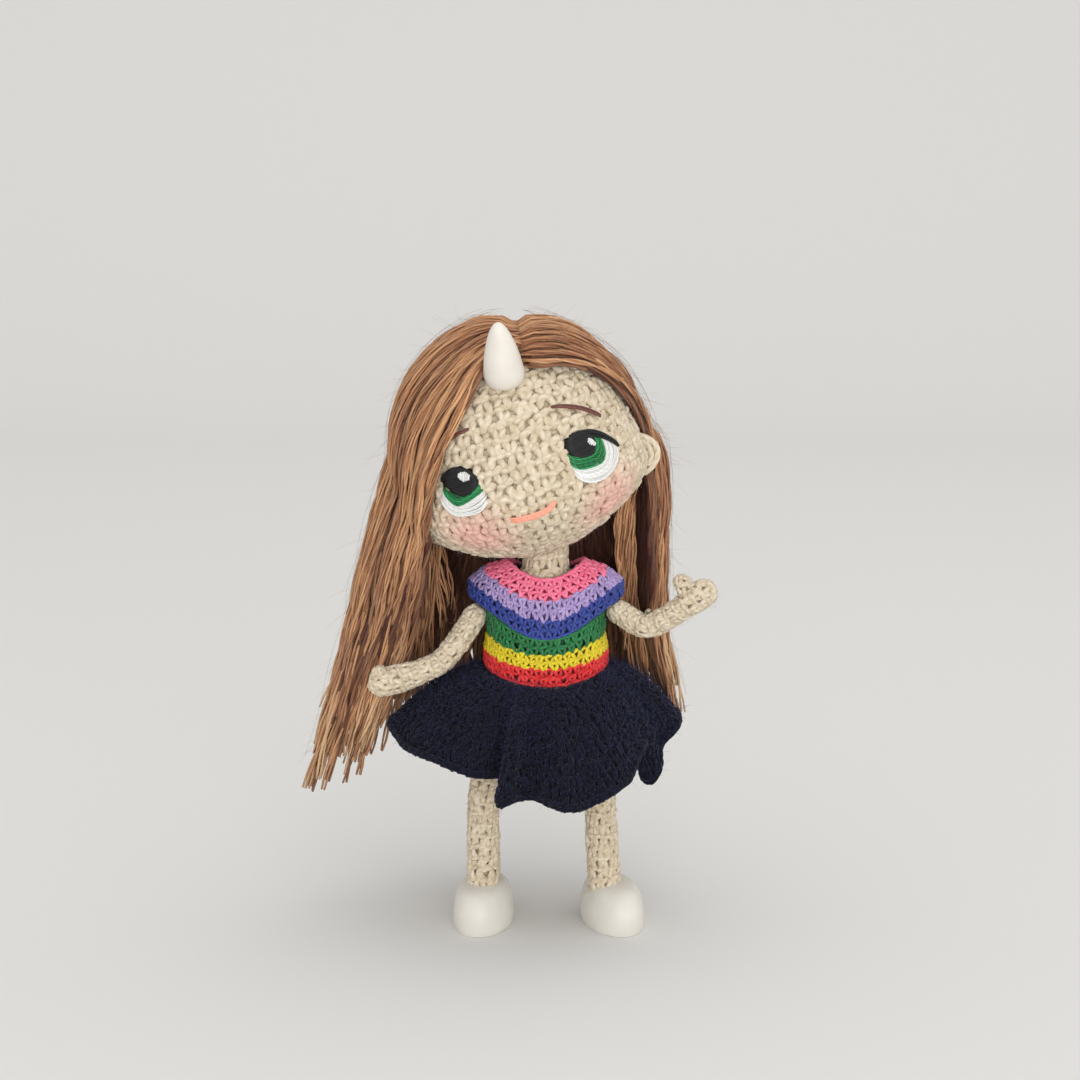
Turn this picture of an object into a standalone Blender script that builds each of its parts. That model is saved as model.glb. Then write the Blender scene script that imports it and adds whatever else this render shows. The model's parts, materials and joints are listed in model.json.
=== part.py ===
# Small crocheted doll with a wire skeleton, long yarn hair, a striped top,
# a flared skirt, a forehead horn and a pair of moulded shoes.
# Metres, +Z up, the doll faces -Y. "right" and "left" are the doll's own.

import bpy
import bmesh
from math import atan2, cos, exp, pi, radians, sin, sqrt
from mathutils import Matrix, Vector

# clearances and yarn thicknesses
gap = 0.0003
inner_ease = 0.0005
stuffing_ease = 0.0008
joint_ease = 0.0006
cut_overrun = 0.002
weld_distance = 0.00001
skin_wall = 0.0014
top_wall = 0.0011
skirt_wall = 0.0014
thread_thickness = 0.0005
wire_radius = 0.0005

# head
head_radius = 0.025
head_roll = radians(15.4)
head_width_share = 1.02
cheek_share = 0.20
cheek_level_share = -0.56
cheek_spread_share = 0.36
neck_radius = 0.0047
neck_ball_radius = 0.0049
neck_hole_radius = 0.0012
head_wire_length = 0.016

# ears, nose and horn
ear_height = 0.0092
ear_width = 0.0054
ear_depth = 0.0040
ear_level_share = -0.42
nose_width = 0.0056
nose_height = 0.0030
nose_depth = 0.0024
nose_level_share = -0.14
horn_length = 0.0146
horn_radius = 0.00435
horn_lean = radians(25.0)
horn_side_lean = radians(9.0)
horn_place_shares = (0.072, -0.70, 0.525)

# trunk: other heights are shares of the height of the neck's base
torso_half_width = 0.0120
torso_half_depth = 0.0109
neck_base_height = 0.0846
neck_length = 0.0040
neck_pivot_height = neck_base_height + neck_length
torso_bottom_height = 0.5981 * neck_base_height
shoulder_height = 0.8948 * neck_base_height
shoulder_spread = 0.0144
shoulder_depth = 0.0010
spine_wire_clear = 0.0034

# striped top
top_half_width = 0.0138
top_half_depth = 0.0125
sleeve_flare = 0.0040
top_neck_height = 1.0165 * neck_base_height
top_hem_height = 0.7092 * neck_base_height

# skirt
skirt_waist_ease = 0.0013
skirt_waist_height = 0.7021 * neck_base_height
skirt_waist_lift = 0.0024
skirt_half_width = 0.0330
skirt_half_depth = 0.0270
skirt_hem_height = 0.4433 * neck_base_height
skirt_side_lift = 0.0120
skirt_ruffle = 0.0014
skirt_ruffle_count = 9

# arms
arm_length = 0.3783 * neck_base_height
arm_radius = 0.0027
wrist_radius = 0.0026
hand_radius = 0.0033
thumb_radius = 0.0020
thumb_length = 0.0030

# legs and shoes
hip_height = 0.5934 * neck_base_height
hip_spread = 0.0097
knee_spread = {"right": 0.0142, "left": 0.0124}
ankle_spread = {"right": 0.0146, "left": 0.0138}
knee_height = 0.3664 * neck_base_height
ankle_height = 0.0060
leg_radius = 0.0038
knee_radius = 0.0036
shoe_length = 0.0220
shoe_width = 0.0138
shoe_height = 0.0105
shoe_heel_length = 0.0120
shoe_top_shift = 0.0002

# hair
hair_fall = 0.060
hair_thickness = 0.0032
hair_lift = 0.0023
face_lock_lift = 0.0009
parting_half_gap = 0.0012
parting_side_share = 0.27

# joint travel in degrees, from the pose in which the doll stands
shoulder_travel = {"right": (-3.0, 35.0), "left": (-25.0, 10.0)}
elbow_travel = {"right": (-10.0, 45.0), "left": (-45.0, 15.0)}
hip_travel = (-25.0, 40.0)
knee_travel = (-5.0, 45.0)

# facets
head_steps = 24
trunk_steps = 18
band_steps = 24
skirt_steps = 48
horn_steps = 16
shoe_steps = 20
hair_rows = 15
hair_columns = 13
hair_crowding = 1.3

sides = ("right", "left")

# colours: base colour, roughness, metallic
looks = {
    "skin_yarn": ((0.68, 0.60, 0.44, 1.0), 0.92, 0.0),
    "stuffing": ((0.86, 0.86, 0.84, 1.0), 0.95, 0.0),
    "wire": ((0.72, 0.73, 0.75, 1.0), 0.35, 1.0),
    "hair_yarn": ((0.30, 0.13, 0.055, 1.0), 0.80, 0.0),
    "white_clay": ((0.86, 0.83, 0.78, 1.0), 0.45, 0.0),
    "white_thread": ((0.88, 0.88, 0.86, 1.0), 0.70, 0.0),
    "green_thread": ((0.010, 0.17, 0.055, 1.0), 0.60, 0.0),
    "black_thread": ((0.006, 0.006, 0.008, 1.0), 0.55, 0.0),
    "brown_thread": ((0.13, 0.045, 0.025, 1.0), 0.70, 0.0),
    "coral_thread": ((0.80, 0.25, 0.14, 1.0), 0.65, 0.0),
    "navy_yarn": ((0.004, 0.006, 0.022, 1.0), 0.95, 0.0),
    "pink_cotton": ((0.80, 0.10, 0.24, 1.0), 0.55, 0.0),
    "lavender_cotton": ((0.36, 0.26, 0.62, 1.0), 0.55, 0.0),
    "blue_cotton": ((0.018, 0.045, 0.36, 1.0), 0.55, 0.0),
    "green_cotton": ((0.006, 0.15, 0.035, 1.0), 0.55, 0.0),
    "yellow_cotton": ((0.74, 0.60, 0.010, 1.0), 0.55, 0.0),
    "red_cotton": ((0.62, 0.012, 0.016, 1.0), 0.55, 0.0),
}

# trunk outline, top to bottom: height, half width and half depth as shares
# of the neck base's height over the trunk's bottom and of its half sizes
trunk_shares = (
    (1.000, 0.410, 0.440), (0.965, 0.467, 0.459), (0.929, 0.600, 0.505),
    (0.894, 0.750, 0.570), (0.840, 0.850, 0.680), (0.703, 0.900, 0.862),
    (0.500, 0.950, 0.950), (0.218, 1.000, 1.000), (0.100, 0.975, 0.965),
    (0.030, 0.860, 0.840), (0.000, 0.450, 0.450),
)

# edges of the top's colours: height at the sides and in front, half width,
# half depth and sleeve flare, as shares of the top's own sizes
top_edge_shares = {
    "neckline": (1.000, 0.875, 0.620, 0.560, 0.0),
    "pink_end": (0.931, 0.719, 1.000, 0.840, 0.0),
    "lavender_end": (0.827, 0.554, 0.955, 0.944, 1.0),
    "blue_end": (0.708, 0.408, 0.955, 0.984, 1.0),
    "green_start": (0.627, 0.398, 0.950, 0.976, 0.0),
    "green_end": (0.369, 0.262, 0.945, 0.984, 0.0),
    "yellow_end": (0.227, 0.142, 1.000, 1.000, 0.0),
    "hem": (0.092, 0.000, 0.985, 0.990, 0.0),
}
# the top's two knitted stretches, above and below the armholes
top_chains = (
    ("neckline", "pink_end", "lavender_end", "blue_end"),
    ("green_start", "green_end", "yellow_end", "hem"),
)
top_chain_colours = (("pink", "lavender", "blue"), ("green", "yellow", "red"))

# skirt hem every 15 degrees, from the front towards the doll's left:
# lift as a share of the side lift, reach as a share of the half sizes
skirt_lift_shares = (
    0.04, -0.05, 0.07, 0.18, 0.09, 0.67, 1.04, 0.98, 0.63, 0.46, 0.29, 0.21,
    0.17, 0.21, 0.29, 0.46, 0.67, 0.88, 1.01, 0.84, 0.61, 0.48, 0.44, -0.01,
)
skirt_reach_shares = (
    1.03, 1.04, 1.00, 0.93, 0.90, 0.88, 0.93, 0.97, 1.00, 1.00, 1.00, 1.00,
    1.00, 1.00, 1.00, 1.00, 1.01, 1.03, 1.06, 1.07, 1.05, 1.02, 1.00, 1.04,
)
skirt_row_shares = (0.0, 0.14, 0.32, 0.52, 0.70, 0.86, 1.0)

# arm axis from the shoulder joint, the first point being the elbow,
# as shares of the arm's length
arm_shares = {
    "right": ((-0.244, -0.125, -0.334), (-0.404, -0.162, -0.426),
              (-0.571, -0.194, -0.476), (-0.690, -0.215, -0.501)),
    "left": ((0.214, -0.172, -0.101), (0.316, -0.219, -0.080),
             (0.423, -0.266, -0.009), (0.523, -0.297, 0.075),
             (0.631, -0.324, 0.156)),
}
# thumb root on the hand and its direction
thumb_shares = {
    "right": ((-0.706, -0.245, -0.440), (-0.35, -0.20, 0.91)),
    "left": ((0.520, -0.320, 0.155), (-0.42, -0.10, 0.90)),
}

shoe_yaw = {"right": radians(-10.0), "left": radians(18.0)}
shoe_side_shift = {"right": 0.0, "left": 0.0020}
shoe_shares = (
    (0.0, 1.0), (0.48, 0.985), (0.72, 0.91), (0.87, 0.76), (0.96, 0.53),
    (1.0, 0.28), (0.985, 0.09), (0.93, 0.0), (0.0, 0.0),
)
horn_shares = (
    (0.0, 1.0), (0.22, 0.975), (0.44, 0.875), (0.63, 0.73), (0.78, 0.58),
    (0.93, 0.37), (1.0, 0.20), (0.92, 0.085), (0.68, 0.015), (0.0, 0.0),
)

# embroidery as columns of (x, lower z, upper z), in shares of the head's
# radius, measured from the head's axis and from its lowest point
face_shares = {
    "pupil_left": ((0.408, 0.932, 1.000), (0.464, 0.884, 1.036),
                   (0.544, 0.856, 1.044), (0.616, 0.828, 1.008),
                   (0.676, 0.840, 0.928)),
    "iris_left": ((0.420, 0.824, 0.900), (0.480, 0.756, 0.864),
                  (0.548, 0.736, 0.838), (0.616, 0.724, 0.810),
                  (0.684, 0.716, 0.818), (0.736, 0.760, 0.880)),
    "eye_white_left": ((0.400, 0.744, 0.796), (0.480, 0.672, 0.738),
                       (0.588, 0.608, 0.706), (0.680, 0.616, 0.698),
                       (0.756, 0.648, 0.740), (0.800, 0.690, 0.836),
                       (0.844, 0.728, 0.800)),
    "lash_left": ((0.512, 1.060, 1.088), (0.616, 1.026, 1.066),
                  (0.700, 0.956, 1.020), (0.776, 0.902, 0.958),
                  (0.840, 0.838, 0.880), (0.872, 0.786, 0.816)),
    "brow_left": ((0.396, 1.294, 1.328), (0.500, 1.256, 1.306),
                  (0.592, 1.212, 1.262), (0.704, 1.156, 1.202),
                  (0.792, 1.082, 1.110)),
    "glint_left": ((0.602, 0.924, 0.956), (0.640, 0.900, 0.974),
                   (0.676, 0.912, 0.952)),
    "pupil_right": ((-0.668, 0.868, 0.956), (-0.600, 0.812, 1.012),
                    (-0.504, 0.796, 1.036), (-0.408, 0.816, 1.008),
                    (-0.340, 0.868, 0.944)),
    "iris_right": ((-0.680, 0.780, 0.846), (-0.600, 0.724, 0.796),
                   (-0.504, 0.708, 0.778), (-0.408, 0.740, 0.798),
                   (-0.336, 0.782, 0.850)),
    "eye_white_right": ((-0.732, 0.772, 0.824), (-0.676, 0.700, 0.764),
                        (-0.600, 0.644, 0.706), (-0.504, 0.632, 0.692),
                        (-0.408, 0.650, 0.724), (-0.344, 0.688, 0.766)),
    "lash_right": ((-0.744, 0.880, 0.908), (-0.704, 0.948, 0.988),
                   (-0.648, 1.004, 1.044), (-0.568, 1.050, 1.080),
                   (-0.480, 1.062, 1.084)),
    "brow_right": ((-0.640, 1.126, 1.160), (-0.520, 1.212, 1.262),
                   (-0.424, 1.256, 1.304), (-0.332, 1.284, 1.322),
                   (-0.284, 1.304, 1.332)),
    "glint_right": ((-0.508, 0.936, 0.968), (-0.464, 0.914, 0.992),
                    (-0.420, 0.934, 0.966)),
    "mouth": ((-0.160, 0.498, 0.528), (-0.070, 0.480, 0.524),
              (0.070, 0.480, 0.524), (0.160, 0.496, 0.536),
              (0.232, 0.546, 0.574)),
}
face_threads = {
    "pupil": "black_thread", "iris": "green_thread", "eye": "white_thread",
    "lash": "black_thread", "brow": "brown_thread", "glint": "white_thread",
    "mouth": "coral_thread",
}

# hair locks, front to back: the parting's angle from the crown, hairline
# points on the head in shares of its radius, and points of the free fall
# from the neck joint in shares of the hair's fall
hair_lock_shares = {
    "right": (
        (33.0, ((-0.106, -0.756, 1.660), (-0.260, -0.838, 1.508),
                (-0.440, -0.852, 1.340), (-0.610, -0.816, 1.116),
                (-0.712, -0.764, 0.960), (-0.788, -0.728, 0.796)),
         ((-0.455, -0.200, -0.010), (-0.522, -0.010, -0.343),
          (-0.605, 0.017, -0.543), (-0.672, 0.067, -0.727))),
        (22.0, (), ((-0.588, -0.133, -0.010), (-0.663, 0.033, -0.377),
                    (-0.713, 0.083, -0.610), (-0.772, 0.133, -0.860))),
        (5.0, (), ((-0.622, 0.033, 0.207), (-0.705, 0.083, -0.110),
                   (-0.795, 0.133, -0.460), (-0.935, 0.167, -0.918))),
        (-20.0, (), ((-0.522, 0.267, 0.257), (-0.622, 0.333, -0.110),
                     (-0.672, 0.383, -0.460), (-0.755, 0.433, -0.860))),
        (-45.0, (), ((-0.322, 0.417, 0.290), (-0.372, 0.467, -0.110),
                     (-0.405, 0.500, -0.460), (-0.438, 0.550, -0.810))),
        (-70.0, (), ((-0.080, 0.492, 0.290), (-0.040, 0.492, -0.110),
                     (-0.015, 0.517, -0.460), (0.000, 0.558, -0.777))),
    ),
    "left": (
        (44.0, ((0.370, -0.735, 1.612), (0.508, -0.672, 1.564),
                (0.768, -0.504, 1.432),
                (0.928, -0.348, 1.236), (1.020, -0.120, 1.000),
                (1.060, 0.090, 0.760)),
         ((0.420, 0.083, 0.190), (0.428, 0.117, -0.077),
          (0.445, 0.150, -0.377), (0.512, 0.200, -0.643))),
        (28.0, (), ((0.433, 0.150, 0.357), (0.445, 0.200, -0.043),
                    (0.453, 0.233, -0.377), (0.512, 0.267, -0.660))),
        (-10.0, (), ((0.278, 0.350, 0.423), (0.328, 0.400, -0.043),
                     (0.345, 0.433, -0.377), (0.362, 0.483, -0.693))),
        (-40.0, (), ((0.090, 0.467, 0.370), (0.145, 0.480, -0.077),
                     (0.165, 0.500, -0.418), (0.180, 0.540, -0.735))),
        (-70.0, (), ((-0.080, 0.492, 0.290), (-0.040, 0.492, -0.110),
                     (-0.015, 0.517, -0.460), (0.000, 0.558, -0.777))),
    ),
}


# scene, collections and materials

def clear_scene():
    for item in list(bpy.data.objects):
        bpy.data.objects.remove(item, do_unlink=True)


def new_collection(name):
    collection = bpy.data.collections.new(name)
    bpy.context.scene.collection.children.link(collection)
    return collection


def make_material(name, look):
    colour, roughness, metallic = look
    material = bpy.data.materials.new(name)
    material.use_nodes = True
    shader = material.node_tree.nodes["Principled BSDF"]
    shader.inputs["Base Color"].default_value = colour
    shader.inputs["Roughness"].default_value = roughness
    shader.inputs["Metallic"].default_value = metallic
    material.diffuse_color = colour


def add_empty(name, parent, place, turn=(0.0, 0.0, 0.0)):
    item = bpy.data.objects.new(name, None)
    item.empty_display_size = arm_radius
    item.location = place
    item.rotation_euler = turn
    item.parent = parent
    doll.objects.link(item)
    return item


def add_part(item, material, parent):
    item.parent = parent
    item.data.materials.append(bpy.data.materials[material])
    doll.objects.link(item)
    return item


def add_cutter(item, parent):
    item.parent = parent
    item.display_type = 'WIRE'
    item.hide_render = True
    cutters.objects.link(item)
    return item


def cut(item, cutter, operation='DIFFERENCE'):
    modifier = item.modifiers.new(cutter.name, 'BOOLEAN')
    modifier.operation = operation
    modifier.object = cutter
    return item


# shape helpers, each returning an object that is in no collection yet

def smooth(item):
    item.data.shade_smooth()
    item.data.set_sharp_from_angle(angle=radians(50.0))
    return item


def add_wall(item, wall, side):
    solidify = item.modifiers.new("wall", 'SOLIDIFY')
    solidify.thickness = wall
    solidify.offset = side
    return item


def turned(name, profile, steps):
    # a profile of (radius, height) points, top to bottom, turned about +Z
    mesh = bpy.data.meshes.new(name)
    points = [(radius, 0.0, height) for radius, height in profile]
    mesh.from_pydata(points, [(i, i + 1) for i in range(len(points) - 1)], [])
    item = bpy.data.objects.new(name, mesh)
    screw = item.modifiers.new("turn", 'SCREW')
    screw.steps = steps
    screw.render_steps = steps
    screw.use_merge_vertices = True
    screw.merge_threshold = weld_distance
    return item


def baked(item, change=None):
    # the evaluated shape as a plain welded mesh, changed by a matrix if given
    bpy.context.scene.collection.objects.link(item)
    bpy.context.view_layer.update()
    evaluated = item.evaluated_get(bpy.context.evaluated_depsgraph_get())
    mesh = bpy.data.meshes.new_from_object(evaluated)
    name = item.name
    bpy.data.objects.remove(item, do_unlink=True)
    shape = bmesh.new()
    shape.from_mesh(mesh)
    bmesh.ops.remove_doubles(shape, verts=shape.verts, dist=weld_distance)
    bmesh.ops.recalc_face_normals(shape, faces=shape.faces)
    shape.to_mesh(mesh)
    shape.free()
    if change:
        mesh.transform(change)
    mesh.name = name
    return smooth(bpy.data.objects.new(name, mesh))


def tube(name, points, radii, resolution=2):
    # a bevelled curve through the points, with its own radius at each
    curve = bpy.data.curves.new(name, 'CURVE')
    curve.dimensions = '3D'
    curve.bevel_depth = 1.0
    curve.bevel_resolution = resolution
    curve.use_fill_caps = True
    spline = curve.splines.new('POLY')
    spline.points.add(len(points) - 1)
    for place, point, radius in zip(points, spline.points, radii):
        point.co = (*place, 1.0)
        point.radius = radius
    return bpy.data.objects.new(name, curve)


def round_tube(name, points, radii, start=True, end=True):
    # a tube with half round ends where asked, as a mesh
    points = [Vector(point) for point in points]
    turns = [radians(30.0), radians(60.0), radians(82.0)]

    def cap(tip, before, radius):
        along = (tip - before).normalized()
        return [(tip + along * radius * sin(turn), radius * cos(turn)) for turn in turns]

    rings = list(zip(points, radii))
    if start:
        rings = cap(points[0], points[1], radii[0])[::-1] + rings
    if end:
        rings = rings + cap(points[-1], points[-2], radii[-1])
    return baked(tube(name, [ring[0] for ring in rings], [ring[1] for ring in rings]))


def ball(name, half_sizes, segments=16, rings=8):
    mesh = bpy.data.meshes.new(name)
    shape = bmesh.new()
    bmesh.ops.create_uvsphere(shape, u_segments=segments, v_segments=rings, radius=1.0)
    bmesh.ops.scale(shape, vec=half_sizes, verts=shape.verts)
    shape.to_mesh(mesh)
    shape.free()
    return smooth(bpy.data.objects.new(name, mesh))


def sheet(name, rows, ring=False, end_cap=False, top_cap=False):
    # a loft between unlike rows of points, top to bottom, left to right
    count = len(rows[0])
    points = [tuple(point) for row in rows for point in row]
    faces = []
    for i in range(len(rows) - 1):
        for j in range(count if ring else count - 1):
            k = (j + 1) % count
            faces.append((i * count + j, (i + 1) * count + j, (i + 1) * count + k, i * count + k))
    last = (len(rows) - 1) * count
    if end_cap:
        faces.append(tuple(last + j for j in reversed(range(count))))
    if top_cap:
        faces.append(tuple(range(count)))
    mesh = bpy.data.meshes.new(name)
    mesh.from_pydata(points, [], faces)
    return smooth(bpy.data.objects.new(name, mesh))


def oval(half_width, half_depth, height, steps):
    # one ring of points, from the front towards the doll's left
    turns = [2.0 * pi * j / steps for j in range(steps)]
    return [(half_width * sin(turn), -half_depth * cos(turn), height) for turn in turns]


def curve_through(points, count, crowding=1.0):
    # points on a smooth curve through the given ones, closer at its start
    # where the crowding is over one
    points = [Vector(point) for point in points]
    padded = [2.0 * points[0] - points[1]] + points + [2.0 * points[-1] - points[-2]]
    fine = []
    for i in range(1, len(padded) - 2):
        before, start, end, after = padded[i - 1:i + 3]
        for step in range(8):
            t = step / 8
            fine.append(0.5 * (2.0 * start + (end - before) * t
                               + (2.0 * before - 5.0 * start + 4.0 * end - after) * t ** 2
                               + (3.0 * start - before - 3.0 * end + after) * t ** 3))
    fine.append(points[-1])
    lengths = [0.0]
    for a, b in zip(fine, fine[1:]):
        lengths.append(lengths[-1] + (b - a).length)
    picked = []
    for i in range(count):
        want = lengths[-1] * (i / (count - 1)) ** crowding
        k = min(max(sum(length <= want for length in lengths) - 1, 0), len(fine) - 2)
        span = lengths[k + 1] - lengths[k]
        picked.append(fine[k].lerp(fine[k + 1], (want - lengths[k]) / span))
    return picked


def sign_of(side):
    # which way the side lies along X
    return 1.0 if side == "left" else -1.0


def scaled(shares, size):
    return tuple(share * size for share in shares)


def turn_about(direction, axis, degrees):
    return Matrix.Rotation(radians(degrees), 3, Vector(axis)) @ Vector(direction)


# head: a turned ball with fuller cheeks, hollow, on the neck's ball

def head_width(height):
    # radius of the head at a height above or below its centre
    share = height / head_radius
    cheeks = cheek_share * exp(-((share - cheek_level_share) / cheek_spread_share) ** 2)
    return head_radius * sqrt(max(1.0 - share ** 2, 0.0)) * (head_width_share + cheeks)


def head_profile(lift, steps=12):
    # the head's outline, moved out along the line from its centre
    profile = []
    for i in range(steps + 1):
        height = head_radius * cos(pi * i / steps)
        width = head_width(height) if 0 < i < steps else 0.0
        length = sqrt(height ** 2 + width ** 2)
        factor = 1.0 + lift / length
        profile.append((width * factor, head_radius + height * factor))
    return profile


def head_point(x, z, lift):
    # a point over the face, from the axis offset and the height over the chin
    height = z - head_radius
    width = head_width(height)
    y = -sqrt(max(width ** 2 - x ** 2, 0.0))
    place = Vector((x, y, height))
    return place * (1.0 + lift / place.length) + Vector((0.0, 0.0, head_radius))


def make_head():
    hollow = add_cutter(baked(turned("cutter_head_hollow", head_profile(-skin_wall), head_steps)), head)
    socket = ball("cutter_neck_socket", [neck_ball_radius + joint_ease] * 3)
    add_cutter(socket, head)
    cover = add_part(baked(turned("head_cover", head_profile(0.0), head_steps)), "skin_yarn", head)
    cut(cut(cover, hollow), socket)
    inset = skin_wall + stuffing_ease
    stuffing = baked(turned("head_stuffing", head_profile(-inset, 8), 16))
    add_part(stuffing, "stuffing", head)
    cut(stuffing, socket)
    start = Vector((0.0, 0.0, neck_ball_radius + joint_ease + inner_ease))
    end = start + Vector((0.0, 0.0, head_wire_length))
    low = Vector((0.0, 0.0, neck_ball_radius / 2))
    bore = tube("cutter_head_wire", [low, end + Vector((0.0, 0.0, gap))], [wire_radius + gap] * 2)
    cut(stuffing, add_cutter(baked(bore), head))
    add_part(tube("head_wire", [start, end], [wire_radius] * 2), "wire", head)


def make_face():
    for name, shares in face_shares.items():
        columns = [scaled(column, head_radius) for column in shares]
        level = gap + thread_thickness
        if name.startswith("glint"):
            level = 2 * level
        rows = []
        for i in range(3):
            rows.append([head_point(x, high + (low - high) * i / 2, level)
                         for x, low, high in columns])
        patch = add_wall(sheet(name, rows), thread_thickness, -1.0)
        add_part(patch, face_threads[name.split("_")[0]], head)


def make_nose_and_ears():
    clear = add_cutter(baked(turned("cutter_head_clear", head_profile(gap), head_steps)), head)
    nose = ball("nose", (nose_width / 2, nose_depth, nose_height / 2), 12, 6)
    nose.location = head_point(0.0, head_radius * (1 + nose_level_share), 0.0)
    cut(add_part(nose, "skin_yarn", head), clear)
    for side in sides:
        ear = ball("ear_" + side, (ear_width / 2, ear_depth / 2, ear_height / 2), 12, 8)
        level = head_radius * ear_level_share
        ear.location = (sign_of(side) * (head_width(level) + ear_width / 6), 0.0, head_radius + level)
        cut(add_part(ear, "skin_yarn", head), clear)
    return clear


def horn_solid(name, extra):
    profile = []
    for radius_share, height_share in horn_shares:
        middle = horn_length / 2
        height = height_share * horn_length
        grown = middle + (height - middle) * (1.0 + 2.0 * extra / horn_length)
        profile.append((radius_share * (horn_radius + extra), grown))
    item = baked(turned(name, profile, horn_steps))
    x_share, y_share, z_share = horn_place_shares
    place = Vector((x_share, y_share, z_share)).normalized() * head_radius
    item.location = place + Vector((0.0, 0.0, head_radius))
    item.rotation_euler = (horn_lean, horn_side_lean, 0.0)
    return item


def make_horn(clear):
    cut(add_part(horn_solid("horn", 0.0), "white_clay", head), clear)
    return add_cutter(horn_solid("cutter_horn_clear", gap), head)


# hair: two thick curtains from the parting, over the head and down

def off_head(place, lift):
    # the same place, but never nearer to the head than the lift
    centre = Vector((0.0, 0.0, head_radius))
    out = place - centre
    across = sqrt(out.x ** 2 + out.y ** 2)
    share = out.z / out.length
    low = head_radius * share
    for _ in range(3):
        width = head_width(low)
        length = sqrt(width ** 2 + low ** 2)
        low = length * share
    least = sqrt(head_width(low) ** 2 + low ** 2) + lift
    if across < head_radius / 4:
        least = max(least, head_radius + lift)
    return place if out.length >= least else centre + out * (least / out.length)


def lock_points(parting, hairline, fall, side):
    to_head = Matrix.Rotation(-head_roll, 3, 'Y').inverted()
    centre = Vector((0.0, 0.0, head_radius))
    rise = radians(parting)
    start = centre + Vector((parting_side_share, -sin(rise), cos(rise))).normalized() * head_radius
    free = [to_head @ Vector(scaled(point, hair_fall)) for point in fall]
    over = [Vector(scaled(point, head_radius)) for point in hairline]
    if not over:
        first, leave = (start - centre).normalized(), (free[0] - centre).normalized()
        over = [centre + first.slerp(leave, t / 5) * head_radius for t in range(1, 5)]
    shift = Vector((sign_of(side) * parting_half_gap, 0.0, 0.0))
    points = [off_head(point, hair_lift) for point in [start] + over] + free
    return curve_through([point + shift for point in points], hair_rows, hair_crowding)


def make_hair(horn_clear):
    for side, locks in hair_lock_shares.items():
        strands = [lock_points(*lock, side) for lock in locks]
        rows = []
        for i in range(hair_rows):
            row = curve_through([strand[i] for strand in strands], hair_columns)
            lifted = []
            for j, point in enumerate(row):
                front = max(0.0, 1.0 - 2.0 * j / (hair_columns - 1)) ** 2
                lift = hair_lift + face_lock_lift * front
                lifted.append(off_head(point, lift))
            rows.append(lifted)
        if side == "right":
            rows = [row[::-1] for row in rows]
        item = add_wall(sheet("hair_" + side, rows), hair_thickness, 0.0)
        cut(add_part(item, "hair_yarn", head), horn_clear)


# trunk, striped top and skirt

def trunk_rings():
    # (height, half width, half depth) from the neck's ball to the bottom
    rings = []
    first = atan2(neck_hole_radius, neck_ball_radius)
    for turn in (first, radians(40.0), radians(65.0), radians(90.0)):
        radius = neck_ball_radius * sin(turn)
        rings.append((neck_pivot_height + neck_ball_radius * cos(turn), radius, radius))
    middle = (neck_base_height + neck_pivot_height) / 2
    rings.append((middle, neck_radius, neck_radius))
    span = neck_base_height - torso_bottom_height
    for height, width, depth in trunk_shares:
        rings.append((torso_bottom_height + height * span,
                      width * torso_half_width, depth * torso_half_depth))
    return rings


def inset_rings(rings, inset):
    # the rings moved inwards, square to the outline
    moved = []
    for i, (height, width, depth) in enumerate(rings):
        before, after = rings[max(i - 1, 0)], rings[min(i + 1, len(rings) - 1)]
        fall = before[0] - after[0]
        grow = after[1] - before[1]
        length = sqrt(fall ** 2 + grow ** 2)
        in_width, down = inset * fall / length, inset * grow / length
        moved.append((height - down, width - in_width, depth - in_width))
    return moved


def make_trunk():
    rings = trunk_rings()
    rows = [oval(width, depth, height, trunk_steps) for height, width, depth in rings]
    cover = add_wall(sheet("torso_cover", rows, ring=True, end_cap=True), skin_wall, -1.0)
    add_part(cover, "skin_yarn", root)
    inner = inset_rings(rings[4:-1], skin_wall + stuffing_ease)
    rows = [oval(width, depth, height, 16) for height, width, depth in inner]
    stuffing = sheet("torso_stuffing", rows, ring=True, end_cap=True, top_cap=True)
    add_part(stuffing, "stuffing", root)
    low = torso_bottom_height + spine_wire_clear + skin_wall
    high = neck_pivot_height + neck_ball_radius / 2
    wire = [Vector((0.0, 0.0, low)), Vector((0.0, 0.0, high))]
    bore = tube("cutter_spine_wire", [wire[0] - Vector((0.0, 0.0, gap)), wire[1]], [wire_radius + gap] * 2)
    cut(stuffing, add_cutter(baked(bore), root))
    add_part(tube("spine_wire", wire, [wire_radius] * 2), "wire", root)
    return cover, stuffing


def top_edge(name):
    side, front, width, depth, flare = top_edge_shares[name]
    span = top_neck_height - top_hem_height
    ring = []
    for j in range(band_steps):
        turn = 2.0 * pi * j / band_steps
        half_width = width * top_half_width + flare * sleeve_flare * sin(turn) ** 4
        share = front + (side - front) * sin(turn) ** 2
        ring.append(Vector((half_width * sin(turn), -depth * top_half_depth * cos(turn),
                            top_hem_height + share * span)))
    return ring


def inner_edges(edges):
    # the edges moved in by the wall, square to the garment's outline
    moved = []
    for i, edge in enumerate(edges):
        before, after = edges[max(i - 1, 0)], edges[min(i + 1, len(edges) - 1)]
        ring = []
        for j, point in enumerate(edge):
            fall = before[j].z - after[j].z
            grow = after[j].xy.length - before[j].xy.length
            out = point.xy.normalized() * fall
            ring.append(point - Vector((out.x, out.y, grow)).normalized() * top_wall)
        moved.append(ring)
    return moved


def band_rows(high, low):
    # two edges drawn together by half a gap each
    rows = [[], []]
    for a, b in zip(high, low):
        step = (b - a).normalized() * gap / 2
        rows[0].append(a + step)
        rows[1].append(b - step)
    return rows


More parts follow.
